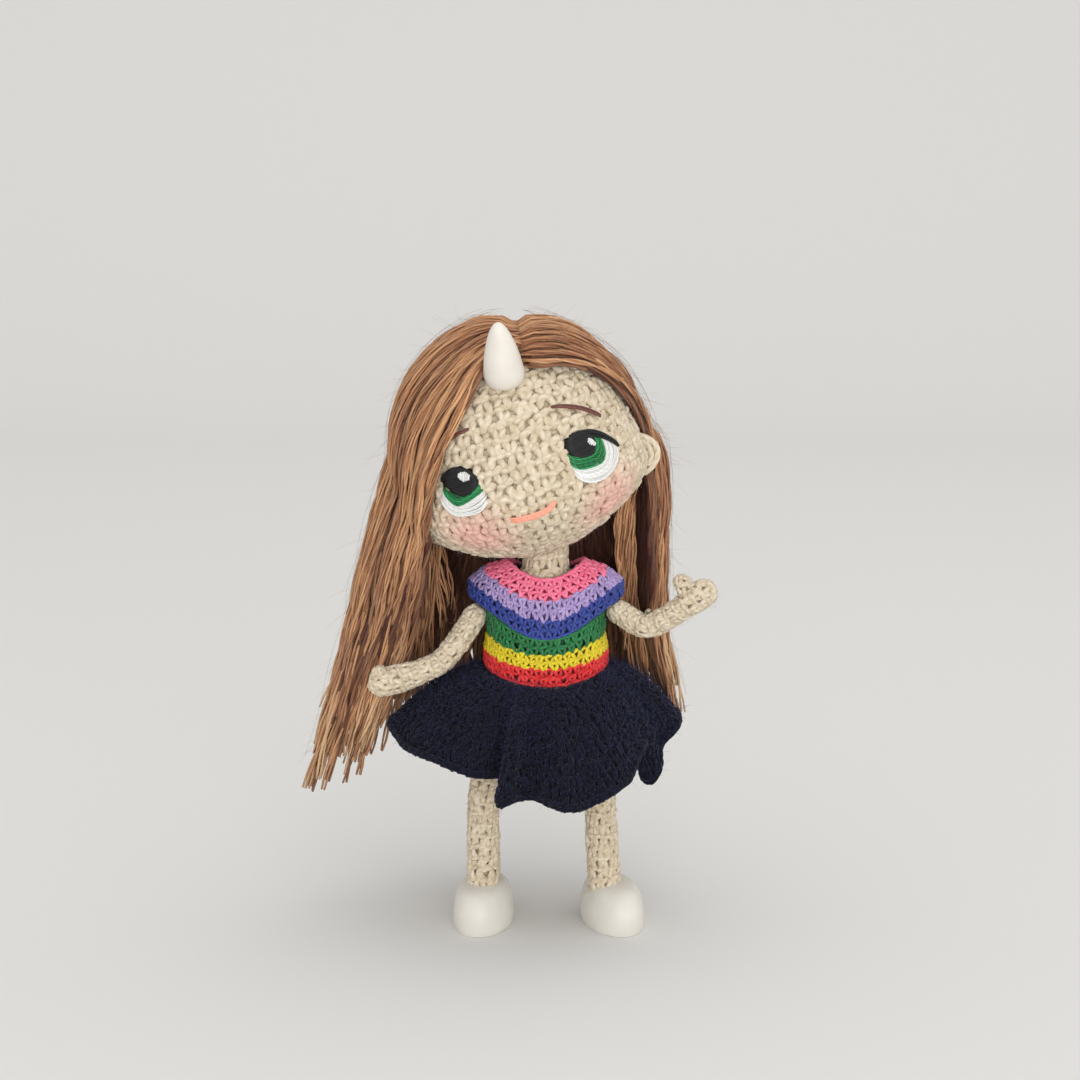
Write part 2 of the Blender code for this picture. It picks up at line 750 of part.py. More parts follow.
def make_top(arm_balls):
    for chain, colours in zip(top_chains, top_chain_colours):
        outer = [top_edge(name) for name in chain]
        inner = inner_edges(outer)
        for i, colour in enumerate(colours):
            rows = band_rows(outer[i], outer[i + 1])
            rows += band_rows(inner[i], inner[i + 1])[::-1]
            band = sheet("top_band_" + colour, rows + rows[:1], ring=True)
            add_part(baked(band), colour + "_cotton", root)
            if colour == "green":
                for arm_ball in arm_balls:
                    cut(doll.objects["top_band_green"], arm_ball)


def periodic(values, share):
    # smooth value of an evenly spaced, closed list at a share of its round
    place = share * len(values)
    i = int(place)
    t = place - i
    before, start, end, after = (values[(i + k) % len(values)] for k in (-1, 0, 1, 2))
    return 0.5 * (2 * start + (end - before) * t
                  + (2 * before - 5 * start + 4 * end - after) * t ** 2
                  + (3 * start - before - 3 * end + after) * t ** 3)


def make_skirt():
    waist_width = torso_half_width + skirt_waist_ease
    waist_depth = torso_half_depth + skirt_waist_ease
    rows = []
    for t in skirt_row_shares:
        row = []
        for j in range(skirt_steps):
            share = j / skirt_steps
            turn = 2.0 * pi * share
            reach = periodic(skirt_reach_shares, share)
            hem = skirt_hem_height + skirt_side_lift * periodic(skirt_lift_shares, share)
            out = t ** 0.85
            wave = skirt_ruffle * t ** 2 * cos(skirt_ruffle_count * turn)
            width = waist_width + (skirt_half_width * reach - waist_width) * out + wave
            depth = waist_depth + (skirt_half_depth * reach - waist_depth) * out + wave
            waist = skirt_waist_height + skirt_waist_lift * sin(turn) ** 2
            height = waist + (hem - waist) * t ** 1.35
            row.append((width * sin(turn), -depth * cos(turn), height))
        rows.append(row)
    add_part(add_wall(sheet("skirt", rows, ring=True), skirt_wall, -1.0), "navy_yarn", root)


# arms: two bendable stretches on a wire, each starting with a ball

def travel_cutter(name, parent, direction, radius, length, axis, angles):
    # the room that a round limb sweeps as it turns about its ball
    whole = None
    for i, angle in enumerate(angles):
        end = turn_about(direction, axis, angle).normalized() * length
        item = round_tube(name + "_" + str(i), [(0.0, 0.0, 0.0), end], [radius] * 2, end=False)
        add_cutter(item, parent)
        if whole:
            cut(whole, item, 'UNION')
        else:
            whole = item
    return whole


def wire_in(name, parent, points, limb):
    # a straight wire in a blind bore along the limb's axis
    start, end = Vector(points[0]), Vector(points[1])
    along = (end - start).normalized()
    add_part(tube(name, [start, end], [wire_radius] * 2), "wire", parent)
    bore = tube("cutter_" + name, [start - along * cut_overrun, end + along * gap], [wire_radius + gap] * 2)
    cut(limb, add_cutter(baked(bore), parent))


def make_arm(side):
    sign = sign_of(side)
    place = (sign * shoulder_spread, -shoulder_depth, shoulder_height)
    shoulder = add_empty("shoulder_" + side, root, place)
    points = [Vector(scaled(share, arm_length)) for share in arm_shares[side]]
    bend = points[0]
    elbow = add_empty("elbow_" + side, shoulder, bend)
    upper = round_tube("upper_arm_" + side, [(0.0, 0.0, 0.0), bend * 0.5, bend],
                       [arm_radius] * 3, end=False)
    add_part(upper, "skin_yarn", shoulder)
    lower_points = [point - bend for point in points]
    radii = [arm_radius] * (len(points) - 2) + [wrist_radius, hand_radius]
    forearm = round_tube("forearm_" + side, lower_points, radii)
    add_part(forearm, "skin_yarn", elbow)
    raise_axis = (0.0, -sign, 0.0)
    room = travel_cutter("cutter_elbow_" + side, elbow, lower_points[1], arm_radius + joint_ease,
                         3.0 * arm_radius, raise_axis, (elbow_travel[side][1],))
    cut(upper, room)
    along = bend.normalized()
    back = bend - along * (arm_radius + inner_ease)
    wire_in("upper_arm_wire_" + side, shoulder, (back, along * inner_ease), upper)
    first = lower_points[1].normalized()
    wire_in("forearm_wire_" + side, elbow, (-first * arm_radius * 0.4, first * arm_radius), forearm)
    root_share, pointing = thumb_shares[side]
    start = Vector(scaled(root_share, arm_length)) - bend
    tip = start + Vector(pointing).normalized() * thumb_length
    thumb = round_tube("thumb_" + side, [start, tip], [thumb_radius] * 2)
    add_part(thumb, "skin_yarn", elbow)
    grown = [radius + gap for radius in radii]
    hand_room = round_tube("cutter_hand_" + side, lower_points, grown)
    cut(thumb, add_cutter(hand_room, elbow))
    arm_ball = ball("cutter_shoulder_" + side, [arm_radius + joint_ease] * 3)
    return add_cutter(arm_ball, shoulder)


# legs: thigh and shin on wires, and a moulded shoe

def make_shoe(side, shin_top, ankle):
    stretch = Matrix.Diagonal((shoe_width / 2, shoe_length / 2, shoe_height, 1.0))
    shear = Matrix.Identity(4)
    shear[1][2] = shoe_top_shift / shoe_height
    shoe = baked(turned("shoe_" + side, shoe_shares, shoe_steps), shear @ stretch)
    yaw = shoe_yaw[side]
    forward = Vector((sin(yaw), -cos(yaw), 0.0)) * (shoe_length / 2 - shoe_heel_length)
    shoe.location = Vector((ankle.x + shoe_side_shift[side], ankle.y, shin_top.z)) + forward
    shoe.rotation_euler = (0.0, 0.0, yaw)
    return shoe


def make_leg(side, trunk):
    sign = sign_of(side)
    spreads = (hip_spread, knee_spread[side], ankle_spread[side])
    heights = (hip_height, knee_height, ankle_height)
    hip_place, knee_place, ankle_place = [
        Vector((sign * spread, 0.0, height)) for spread, height in zip(spreads, heights)]
    hip = add_empty("hip_" + side, root, hip_place)
    bend = knee_place - hip_place
    knee = add_empty("knee_" + side, hip, bend)
    thigh = round_tube("thigh_" + side, [(0.0, 0.0, 0.0), bend * 0.5, bend],
                       [leg_radius, leg_radius, knee_radius], end=False)
    add_part(thigh, "skin_yarn", hip)
    down = ankle_place - knee_place
    shin = round_tube("shin_" + side, [(0.0, 0.0, 0.0), down * 0.5, down],
                      [knee_radius, leg_radius, leg_radius], end=False)
    add_part(shin, "skin_yarn", knee)
    room = travel_cutter("cutter_knee_" + side, knee, down, knee_radius + joint_ease,
                         3.0 * knee_radius, (1.0, 0.0, 0.0), (knee_travel[1],))
    cut(thigh, room)
    swing = (hip_travel[0], sum(hip_travel) / 2, hip_travel[1])
    hip_room = travel_cutter("cutter_hip_" + side, hip, bend, leg_radius + joint_ease,
                             3.0 * leg_radius, (-1.0, 0.0, 0.0), swing)
    for item in trunk:
        cut(item, hip_room)
    along = bend.normalized()
    back = bend - along * (knee_radius + inner_ease)
    wire_in("thigh_wire_" + side, hip, (back, along * inner_ease), thigh)
    first = down.normalized()
    wire_in("shin_wire_" + side, knee, (down - first * inner_ease, first * inner_ease), shin)
    floor = Vector((0.0, 0.0, -knee_place.z))
    shoe = make_shoe(side, floor, down)
    add_part(shoe, "white_clay", knee)
    sink = first * gap
    socket = tube("cutter_ankle_" + side, [down + sink, down - first * shoe_height],
                  [leg_radius + gap] * 2)
    cut(shoe, add_cutter(baked(socket), knee))


def centre_on_floor():
    # the root moves so that the doll's box stands with its base centre at zero
    bpy.context.view_layer.update()
    graph = bpy.context.evaluated_depsgraph_get()
    corners = []
    for item in doll.objects:
        if item.type != 'EMPTY':
            evaluated = item.evaluated_get(graph)
            mesh = evaluated.to_mesh()
            corners += [evaluated.matrix_world @ vertex.co for vertex in mesh.vertices]
            evaluated.to_mesh_clear()
    low = [min(point[i] for point in corners) for i in range(3)]
    high = [max(point[i] for point in corners) for i in range(3)]
    root.location = (-(low[0] + high[0]) / 2, -(low[1] + high[1]) / 2, -low[2])
    bpy.context.view_layer.update()


clear_scene()
doll = new_collection("amigurumi_doll")
cutters = new_collection("cutters")
for look_name, look in looks.items():
    make_material(look_name, look)
root = add_empty("doll_root", None, (0.0, 0.0, 0.0))
head = add_empty("head_tilt", root, (0.0, 0.0, neck_pivot_height), (0.0, -head_roll, 0.0))
make_head()
make_face()
head_clear = make_nose_and_ears()
make_hair(make_horn(head_clear))
trunk_parts = make_trunk()
make_top([make_arm(side) for side in sides])
make_skirt()
for side in sides:
    make_leg(side, trunk_parts)
centre_on_floor()
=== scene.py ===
import json
from math import cos, pi, radians, sin

import bpy
import numpy as np
from mathutils import Matrix, Vector


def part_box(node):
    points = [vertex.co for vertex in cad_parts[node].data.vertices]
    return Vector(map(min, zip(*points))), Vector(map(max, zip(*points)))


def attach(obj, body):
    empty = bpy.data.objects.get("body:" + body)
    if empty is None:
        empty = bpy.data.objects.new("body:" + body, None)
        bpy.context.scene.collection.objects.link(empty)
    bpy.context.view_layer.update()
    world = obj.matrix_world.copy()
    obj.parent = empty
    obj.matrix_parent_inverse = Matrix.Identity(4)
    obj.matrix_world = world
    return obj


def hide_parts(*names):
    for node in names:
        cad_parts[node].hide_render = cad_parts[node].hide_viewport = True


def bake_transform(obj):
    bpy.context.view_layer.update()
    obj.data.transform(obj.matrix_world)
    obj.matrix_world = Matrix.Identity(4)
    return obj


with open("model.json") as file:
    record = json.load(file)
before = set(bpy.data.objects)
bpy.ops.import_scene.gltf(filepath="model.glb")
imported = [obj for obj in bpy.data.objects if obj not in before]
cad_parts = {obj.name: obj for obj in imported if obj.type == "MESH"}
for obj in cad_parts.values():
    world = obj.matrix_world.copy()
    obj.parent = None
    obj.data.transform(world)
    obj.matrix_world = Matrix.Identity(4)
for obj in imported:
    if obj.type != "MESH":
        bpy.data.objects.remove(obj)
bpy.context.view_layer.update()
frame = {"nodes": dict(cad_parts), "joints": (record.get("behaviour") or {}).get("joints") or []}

# A small crocheted doll: yarn laid stitch by stitch over its stuffed forms,
# embroidered eyes, long yarn hair, clay horn and shoes.
# Lengths in the dictionaries are in millimetres; "right" and "left" are the
# doll's own, so its left is on the right of the picture.

rng = np.random.default_rng(11)
mm = 0.001
joints = {joint["name"]: np.array(joint["pos_m"]) for joint in frame["joints"]}
neckPivot = joints["head_tilt"]
dollPlace = np.array([neckPivot[0], neckPivot[1], 0.0])  # the doll's middle, on the floor
sideSigns = {"right": -1, "left": 1}  # the way each side lies in x


# smooth lines and rings of values

def unit(vectors):
    # the same directions, one long
    return vectors / np.maximum(np.linalg.norm(vectors, axis=-1, keepdims=True), 1e-12)


def splineWeights(places, count):
    # weights of evenly spaced points at places from 0 to count - 1 of the smooth curve
    # through them: the usual cubic of the two points on either side of each place
    points = np.eye(count)
    padded = np.vstack([2 * points[0] - points[1], points, 2 * points[-1] - points[-2]])
    whole = np.clip(np.floor(places).astype(int), 0, count - 2)
    t = (places - whole)[:, None]
    a, b, c, d = (padded[whole + k] for k in range(4))
    return 0.5 * (2 * b + (c - a) * t + (2 * a - 5 * b + 4 * c - d) * t ** 2
                  + (3 * b - a - 3 * c + d) * t ** 3)


def curveThrough(points, shares):
    # places at shares of the length of the smooth curve through the points
    points = np.asarray(points, float)
    fine = np.linspace(0, len(points) - 1, 24 * (len(points) - 1) + 1)
    line = splineWeights(fine, len(points)) @ points
    steps = np.linalg.norm(np.diff(line, axis=0), axis=1)
    length = np.concatenate([[0], np.cumsum(steps)])
    wanted = np.interp(np.asarray(shares) * length[-1], length, fine)
    return splineWeights(wanted, len(points)) @ points


def tableAt(table, share):
    # a table's columns at shares of its length, read as smooth curves
    table = np.asarray(table, float)
    share = np.asarray(share, float)
    places = np.clip(share.ravel(), -0.02, 1.02) * (len(table) - 1)
    return (splineWeights(places, len(table)) @ table).reshape(share.shape + table.shape[1:])


def ringAt(values, share):
    # a closed ring of values at shares of its round, by the same cubic
    values = np.asarray(values, float)
    place = np.asarray(share, float) % 1.0 * len(values)
    whole = np.floor(place).astype(int)
    t = (place - whole).reshape(place.shape + (1,) * (values.ndim - 1))
    a, b, c, d = (values[(whole + k) % len(values)] for k in (-1, 0, 1, 2))
    return 0.5 * (2 * b + (c - a) * t + (2 * a - 5 * b + 4 * c - d) * t ** 2
                  + (3 * b - a - 3 * c + d) * t ** 3)


def evenRing(values, count):
    # the same closed ring at evenly spaced places, by the length of its first three columns
    shares = np.linspace(0, 1, 2000)
    steps = np.linalg.norm(np.diff(ringAt(values, shares)[:, :3], axis=0), axis=1)
    length = np.concatenate([[0], np.cumsum(steps)])
    return ringAt(values, np.interp(np.arange(count) / count * length[-1], length, shares))


def placesOn(surface, u, v, lift):
    # surface(u, v) moved out by lift along its normal, the cross product of its
    # small steps in u and in v
    step = 0.002
    across = surface(u + step, v) - surface(u - step, v)
    along = surface(u, v + step) - surface(u, v - step)
    normal = unit(np.cross(across, along))
    return surface(u, v) + normal * np.asarray(lift)[..., None], normal


# tubes, shells and the objects made of them

def ringPart(rings, tint=0.5, depth=1.0, start=0.0):
    # closed bodies from (body, ring, point) arrays: quads between rings, and fans of
    # quads over both ends. u runs along each body in millimetres, v once round it
    bodies, count, sides = rings.shape[:3]
    index = np.arange(bodies * count * sides).reshape(bodies, count, sides)
    after = np.roll(index, -1, axis=2)
    quads = np.stack([index[:, :-1], index[:, 1:], after[:, 1:], after[:, :-1]], -1)
    middle = rings.mean(axis=2)
    steps = np.linalg.norm(np.diff(middle, axis=1), axis=2) / mm
    along = np.concatenate([np.zeros((bodies, 1)), np.cumsum(steps, axis=1)], axis=1)
    along = along + np.broadcast_to(start, (bodies,))[:, None]
    here = np.broadcast_to(along[:, :, None], index.shape)
    turn = np.broadcast_to(np.arange(sides) / sides, quads.shape[:3])
    nextTurn = turn + 1.0 / sides
    corners = ((here[:, :-1], turn), (here[:, 1:], turn), (here[:, 1:], nextTurn), (here[:, :-1], nextTurn))
    uv = np.stack([np.stack(corner, -1) for corner in corners], -2)
    fan = np.array([[0, 2 * k + 1, 2 * k + 2, (2 * k + 3) % sides] for k in range(sides // 2 - 1)])
    first = index[:, 0][:, fan]
    last = index[:, -1, ::-1][:, fan]
    ends = np.concatenate([first.reshape(-1, 4), last.reshape(-1, 4)])
    endUv = np.zeros((len(ends), 4, 2))
    faces = np.concatenate([quads.reshape(-1, 4), ends])
    uv = np.concatenate([uv.reshape(-1, 4, 2), endUv])
    shape = (bodies, count, sides)
    tints = np.broadcast_to(np.asarray(tint, float).reshape(-1, 1, 1), shape)
    depths = np.asarray(depth, float)
    depths = np.broadcast_to(depths.reshape(depths.shape + (1,) * (3 - depths.ndim)), shape)
    return {"points": rings.reshape(-1, 3), "faces": faces, "uv": uv,
            "tint": tints.ravel(), "depth": depths.ravel()}


def tubePart(paths, radius, outward, sides, flat, tint, depth=1.0, start=0.0):
    # a tube round each path: path + radius * (cos a * side + flat * sin a * out)
    tangent = unit(np.gradient(paths, axis=1))
    side = unit(np.cross(tangent, outward))
    out = np.cross(side, tangent)
    turn = 2 * pi * np.arange(sides) / sides
    ring = (np.cos(turn)[:, None] * side[:, :, None]
            + flat * np.sin(turn)[:, None] * out[:, :, None])
    size = np.broadcast_to(radius, paths.shape[:2])[:, :, None, None]
    return ringPart(paths[:, :, None] + size * ring, tint, depth, start)


def roundGrid(columns, rows, low, high):
    # places for rings of points: u once round each ring, v from low to high
    u = np.arange(columns)[None, ::-1] / columns * np.ones((rows, 1))
    v = np.linspace(low, high, rows)[:, None] * np.ones((1, columns))
    return u, v


def shellPart(surface, columns, rows, lift, low, high, depth):
    # one closed body on a surface that goes round in u and up in v, lift over it
    u, v = roundGrid(columns, rows, low, high)
    points, _ = placesOn(surface, u, v, np.full(u.shape, lift * mm))
    return ringPart(points[None], depth=depth)


def mouldedPart(surface, columns, rows):
    # one closed body on the surface itself, almost to both of its poles
    return ringPart(surface(*roundGrid(columns, rows, 0.004, 0.996))[None])


def joinParts(parts):
    # several bodies as one, with their point numbers moved on
    shift = np.cumsum([0] + [len(part["points"]) for part in parts[:-1]])
    whole = {key: np.concatenate([part[key] for part in parts])
             for key in ("points", "uv", "tint", "depth")}
    whole["faces"] = np.concatenate([part["faces"] + k for part, k in zip(parts, shift)])
    return whole


def addPiece(name, parts, material, body=None, replaces=()):
    # one object at the origin whose mesh holds its place: every face has four corners
    whole = joinParts(parts)
    mesh = bpy.data.meshes.new(name)
    mesh.vertices.add(len(whole["points"]))
    mesh.vertices.foreach_set("co", whole["points"].astype(np.float32).ravel())
    mesh.loops.add(whole["faces"].size)
    mesh.loops.foreach_set("vertex_index", whole["faces"].astype(np.int32).ravel())
    mesh.polygons.add(len(whole["faces"]))
    mesh.polygons.foreach_set("loop_start", np.arange(len(whole["faces"]), dtype=np.int32) * 4)
    mesh.update(calc_edges=True)
    mesh.uv_layers.new(name="yarn").data.foreach_set("uv", whole["uv"].astype(np.float32).ravel())
    for key in ("tint", "depth"):
        values = mesh.attributes.new(key, "FLOAT", "POINT").data
        values.foreach_set("value", whole[key].astype(np.float32))
    mesh.shade_smooth()
    mesh.materials.append(material)
    item = bpy.data.objects.new(name, mesh)
    bpy.context.scene.collection.objects.link(item)
    if body:
        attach(item, body)
    if replaces:
        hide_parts(*replaces)
    print(name, len(whole["faces"]), "faces")
    return item


# yarn, thread, clay and wire

class Wire:
    # one socket of a material, so that sums on values read as sums
    def __init__(self, tree, socket=None):
        self.tree, self.socket = tree, socket

    def node(self, kind, settings=None, inputs=None, output=0):
        new = self.tree.nodes.new(kind)
        for name, value in (settings or {}).items():
            if name == "stops":
                ramp = new.color_ramp
                while len(ramp.elements) < len(value):
                    ramp.elements.new(0.5)
                for stop, (place, colour) in zip(ramp.elements, value):
                    stop.position, stop.color = place, colour
            else:
                setattr(new, name, value)
        for name, value in (inputs or {}).items():
            if isinstance(value, Wire):
                self.tree.links.new(value.socket, new.inputs[name])
            else:
                new.inputs[name].default_value = value
        return Wire(self.tree, new.outputs[output])

    def maths(self, operation, other=None, swapped=False):
        pair = [self] if other is None else [other, self] if swapped else [self, other]
        return self.node("ShaderNodeMath", {"operation": operation}, dict(enumerate(pair)))

    def __add__(self, other):
        return self.maths("ADD", other)

    def __sub__(self, other):
        return self.maths("SUBTRACT", other)

    def __rsub__(self, other):
        return self.maths("SUBTRACT", other, True)

    def __mul__(self, other):
        return self.maths("MULTIPLY", other)

    __radd__ = __add__
    __rmul__ = __mul__

    def mix(self, first, second):
        # this value's mix of two colours
        return self.node("ShaderNodeMix", {"data_type": "RGBA"}, {0: self, 6: first, 7: second}, 2)

    def between(self, low, high):
        # 0 below low, 1 above high, smooth in between
        return self.node("ShaderNodeMapRange", {"interpolation_type": "SMOOTHSTEP"},
                         {"Value": self, "From Min": low, "From Max": high})


def newMaterial(name):
    # a material, the start of its sums, and its shader
    material = bpy.data.materials.new(name)
    material.use_nodes = True
    tree = material.node_tree
    return material, Wire(tree), tree.nodes["Principled BSDF"]


def linkTo(shader, name, wire):
    # a value led into one of the shader's sockets
    wire.tree.links.new(wire.socket, shader.inputs[name])


def sRgb(red, green, blue):
    # a colour as measured on a screen, in the renderer's own light values
    shares = np.array([red, green, blue]) / 255
    light = np.where(shares <= 0.04045, shares / 12.92, ((shares + 0.055) / 1.055) ** 2.4)
    return (*light.tolist(), 1.0)


# how the ply, whose twist paints light and shade, streaks of fibre and slow clouds share in a yarn's colour
# and relief
yarnMix = {
    "ply": 0.30, "streak": 0.75, "cloud": 0.35, "level": 0.2, "streakLean": 1.3, "tintSpread": 40,
    "hollowTo": 0.8, "endShare": 0.8, "plyRelief": 0.55, "streakRelief": 0.6, "sheenRoughness": 0.5,
}
blushMix = {"streak": 0.2, "cloud": 0.25, "inset": 0.22, "edge": (0.1, 1.0), "strength": 0.6}


def yarnMaterial(name, look):
    # twisted yarn: sine ridges that wind along the tube, streaks of fibre between them.
    # depth mixes it to its dark colour of painted shade below 1, and to its pale ends over 1
    material, make, shader = newMaterial(name)
    uv = make.node("ShaderNodeUVMap", {"uv_map": "yarn"})
    along = make.node("ShaderNodeSeparateXYZ", inputs={0: uv}, output=0)
    around = make.node("ShaderNodeSeparateXYZ", inputs={0: uv}, output=1)
    tint = make.node("ShaderNodeAttribute", {"attribute_name": "tint"}, output=2)
    depth = make.node("ShaderNodeAttribute", {"attribute_name": "depth"}, output=2)
    place = make.node("ShaderNodeTexCoord", output=3)
    phase = along * (2 * pi / look["twist"]) + around * (2 * pi * look["plies"])
    ply = phase.maths("SINE") * 0.5 + 0.5
    streakUv = make.node("ShaderNodeCombineXYZ", inputs={
        0: along * look["streakAlong"], 1: around * look["streakRound"] + along * yarnMix["streakLean"],
        2: tint * yarnMix["tintSpread"]})
    streak = make.node("ShaderNodeTexNoise", inputs={"Vector": streakUv, "Scale": 1.0, "Detail": 3.0})
    cloud = make.node("ShaderNodeTexNoise", inputs={"Vector": place, "Scale": look["cloud"], "Detail": 2.0})
    # the ply's sine paints light on its crests and shade in its grooves; streaks, tint and clouds are the
    # yarn's own uneven colour
    light = ply * yarnMix["ply"] + streak * yarnMix["streak"] + tint * look["tone"] + cloud * yarnMix["cloud"]
    light = (light - yarnMix["level"] - look["tone"] / 2).between(0.0, 1.0)
    colour = light.mix(look["shade"], look["colour"])
    for centre, size in look.get("blush", ()):
        gap = make.node("ShaderNodeVectorMath", {"operation": "SUBTRACT"}, {0: place, 1: centre})
        near = make.node("ShaderNodeVectorMath", {"operation": "MULTIPLY"}, {0: gap, 1: (1 / size,) * 3})
        far = make.node("ShaderNodeVectorMath", {"operation": "LENGTH"}, {0: near}, 1)
        far = far + streak * blushMix["streak"] + cloud * blushMix["cloud"] - blushMix["inset"]
        mask = (1 - far.between(*blushMix["edge"])) * blushMix["strength"]
        colour = mask.mix(colour, look["blushColour"])
    # painted shade: where depth is low, the colour gives way to the dark colour of the recesses
    colour = depth.between(0.0, yarnMix["hollowTo"]).mix(look["hollow"], colour)
    if "ends" in look:
        colour = (depth.between(1.0, 2.0) * yarnMix["endShare"]).mix(colour, look["ends"])
    linkTo(shader, "Base Color", colour)
    height = ply * yarnMix["plyRelief"] + streak * yarnMix["streakRelief"]
    bump = make.node("ShaderNodeBump", inputs={
        "Strength": look["bump"], "Distance": look["relief"] * mm, "Height": height})
    linkTo(shader, "Normal", bump)
    shader.inputs["Roughness"].default_value = look["roughness"]
    shader.inputs["Specular IOR Level"].default_value = look["specular"]
    shader.inputs["Sheen Weight"].default_value = look["sheen"]
    shader.inputs["Sheen Roughness"].default_value = yarnMix["sheenRoughness"]
    return material


# each yarn: a lighter and a darker colour, between which the ply paints light and shade, and a dark colour of
# painted shade for its recesses
skinYarn = {
    "colour": sRgb(231, 218, 196), "shade": sRgb(202, 185, 156), "hollow": sRgb(150, 129, 97),
    "twist": 2.2, "plies": 2, "streakAlong": 1.1, "streakRound": 13.0, "cloud": 90.0,
    "bump": 1.0, "relief": 0.32, "roughness": 0.95, "specular": 0.12, "sheen": 0.1, "tone": 0.35,
}
hairYarn = {
    "colour": sRgb(226, 172, 122), "shade": sRgb(140, 86, 58), "hollow": sRgb(88, 46, 33),
    "ends": sRgb(228, 192, 148),
    "twist": 9.0, "plies": 2, "streakAlong": 0.22, "streakRound": 11.0, "cloud": 60.0,
    "bump": 1.0, "relief": 0.3, "roughness": 0.6, "specular": 0.4, "sheen": 0.1, "tone": 0.6,
}
navyYarn = {
    "colour": sRgb(20, 22, 44), "shade": sRgb(8, 8, 20), "hollow": sRgb(5, 5, 12),
    "twist": 1.6, "plies": 2, "streakAlong": 1.6, "streakRound": 7.0, "cloud": 120.0,
    "bump": 0.9, "relief": 0.2, "roughness": 0.9, "specular": 0.15, "sheen": 0.08, "tone": 0.4,
}
# the skirt's fuzz: the same navy yarn, lighter, as painted sheen where light catches its fine fibres
navyFuzzSheen = {**navyYarn, "colour": sRgb(86, 92, 144), "shade": sRgb(42, 46, 84)}
cotton = {
    "twist": 1.3, "plies": 2, "streakAlong": 1.2, "streakRound": 6.0, "cloud": 120.0,
    "bump": 0.8, "relief": 0.14, "roughness": 0.5, "specular": 0.5, "sheen": 0.05, "tone": 0.3,
}
cottonColours = {  # lit colour and shade between stitches, both partly painted light and shade, and the painted shade of the recesses
    "pink": (sRgb(253, 144, 176), sRgb(234, 92, 130), sRgb(150, 38, 68)),
    "lavender": (sRgb(186, 164, 212), sRgb(136, 116, 170), sRgb(56, 44, 92)),
    "blue": (sRgb(48, 70, 158), sRgb(27, 41, 112), sRgb(10, 14, 54)),
    "green": (sRgb(26, 128, 66), sRgb(10, 84, 40), sRgb(2, 34, 16)),
    "yellow": (sRgb(232, 214, 34), sRgb(196, 172, 10), sRgb(104, 88, 0)),
    "red": (sRgb(234, 50, 50), sRgb(190, 22, 28), sRgb(92, 6, 10)),
}
silk = {
    "twist": 1.4, "plies": 2, "streakAlong": 0.5, "streakRound": 8.0, "cloud": 200.0,
    "bump": 0.8, "relief": 0.08, "roughness": 0.45, "specular": 0.4, "sheen": 0.0, "tone": 0.5,
}
silkColours = {
    "black_thread": (sRgb(24, 23, 24), sRgb(12, 11, 12), sRgb(6, 6, 6)),
    "green_thread": (sRgb(52, 160, 96), sRgb(2, 70, 30), sRgb(2, 36, 16)),
    "white_thread": (sRgb(244, 244, 242), sRgb(204, 203, 199), sRgb(160, 156, 148)),
    "brown_thread": (sRgb(126, 78, 68), sRgb(92, 52, 46), sRgb(48, 24, 20)),
    "coral_thread": (sRgb(252, 184, 158), sRgb(240, 148, 120), sRgb(176, 92, 72)),
}


def threeColours(base, colours):
    # the same yarn in another light side, shade and colour of painted shade in its recesses
    return {**base, "colour": colours[0], "shade": colours[1], "hollow": colours[2]}


clayFinish = {
    "cloud": 160.0, "grain": 2600.0, "warm": (0.3, 0.7), "roughness": 0.36, "cloudRoughness": 0.12,
    "bump": 0.25, "relief": 0.05, "grainRelief": 0.4, "cloudRelief": 0.6,
    "subsurface": 0.12, "subsurfaceRadius": (0.6, 0.4, 0.3), "specular": 0.4,
}


def clayMaterial(name, low, high):
    # white clay: faint warm clouds, a fine grain and soft polish
    material, make, shader = newMaterial(name)
    place = make.node("ShaderNodeTexCoord", output=3)
    cloud = make.node("ShaderNodeTexNoise", inputs={
        "Vector": place, "Scale": clayFinish["cloud"], "Detail": 3.0})
    grain = make.node("ShaderNodeTexNoise", inputs={
        "Vector": place, "Scale": clayFinish["grain"], "Detail": 2.0})
    linkTo(shader, "Base Color", cloud.between(*clayFinish["warm"]).mix(low, high))
    linkTo(shader, "Roughness", cloud * clayFinish["cloudRoughness"] + clayFinish["roughness"])
    height = grain * clayFinish["grainRelief"] + cloud * clayFinish["cloudRelief"]
    linkTo(shader, "Normal", make.node("ShaderNodeBump", inputs={
        "Strength": clayFinish["bump"], "Distance": clayFinish["relief"] * mm, "Height": height}))
    shader.inputs["Subsurface Weight"].default_value = clayFinish["subsurface"]
    shader.inputs["Subsurface Radius"].default_value = [size * mm for size in clayFinish["subsurfaceRadius"]]
    shader.inputs["Subsurface Scale"].default_value = 1.0
    shader.inputs["Specular IOR Level"].default_value = clayFinish["specular"]
    return material


steelLook = {
    "dark": sRgb(168, 170, 174), "bright": sRgb(208, 210, 212), "marks": 900.0,
    "roughness": 0.28, "marksRoughness": 0.2,
}


def wireMaterial():
    # drawn steel: fine marks that lighten and dull it
    material, make, shader = newMaterial("steelWire")
    place = make.node("ShaderNodeTexCoord", output=3)
    marks = make.node("ShaderNodeTexNoise", inputs={
        "Vector": place, "Scale": steelLook["marks"], "Detail": 2.0})
    linkTo(shader, "Base Color", marks.mix(steelLook["dark"], steelLook["bright"]))
    linkTo(shader, "Roughness", marks * steelLook["marksRoughness"] + steelLook["roughness"])
    shader.inputs["Metallic"].default_value = 1.0
    return material


# rows of stitches, and loose fibres

# how much painted shade a strand gets as it sinks, how thin its ends are and how it drifts from its line
strandLook = {
    "surfaceShadeDepth": 0.62, "shadeDepthRise": 0.55, "endSize": 0.80, "swell": 0.20, "drift": 0.5, "driftTurns": 4,
    "freedom": (1, 1, 2), "uvSpread": 20,
}
fibreLook = {"shortest": 0.35, "lean": 0.7, "taper": 0.6, "tint": 0.9}


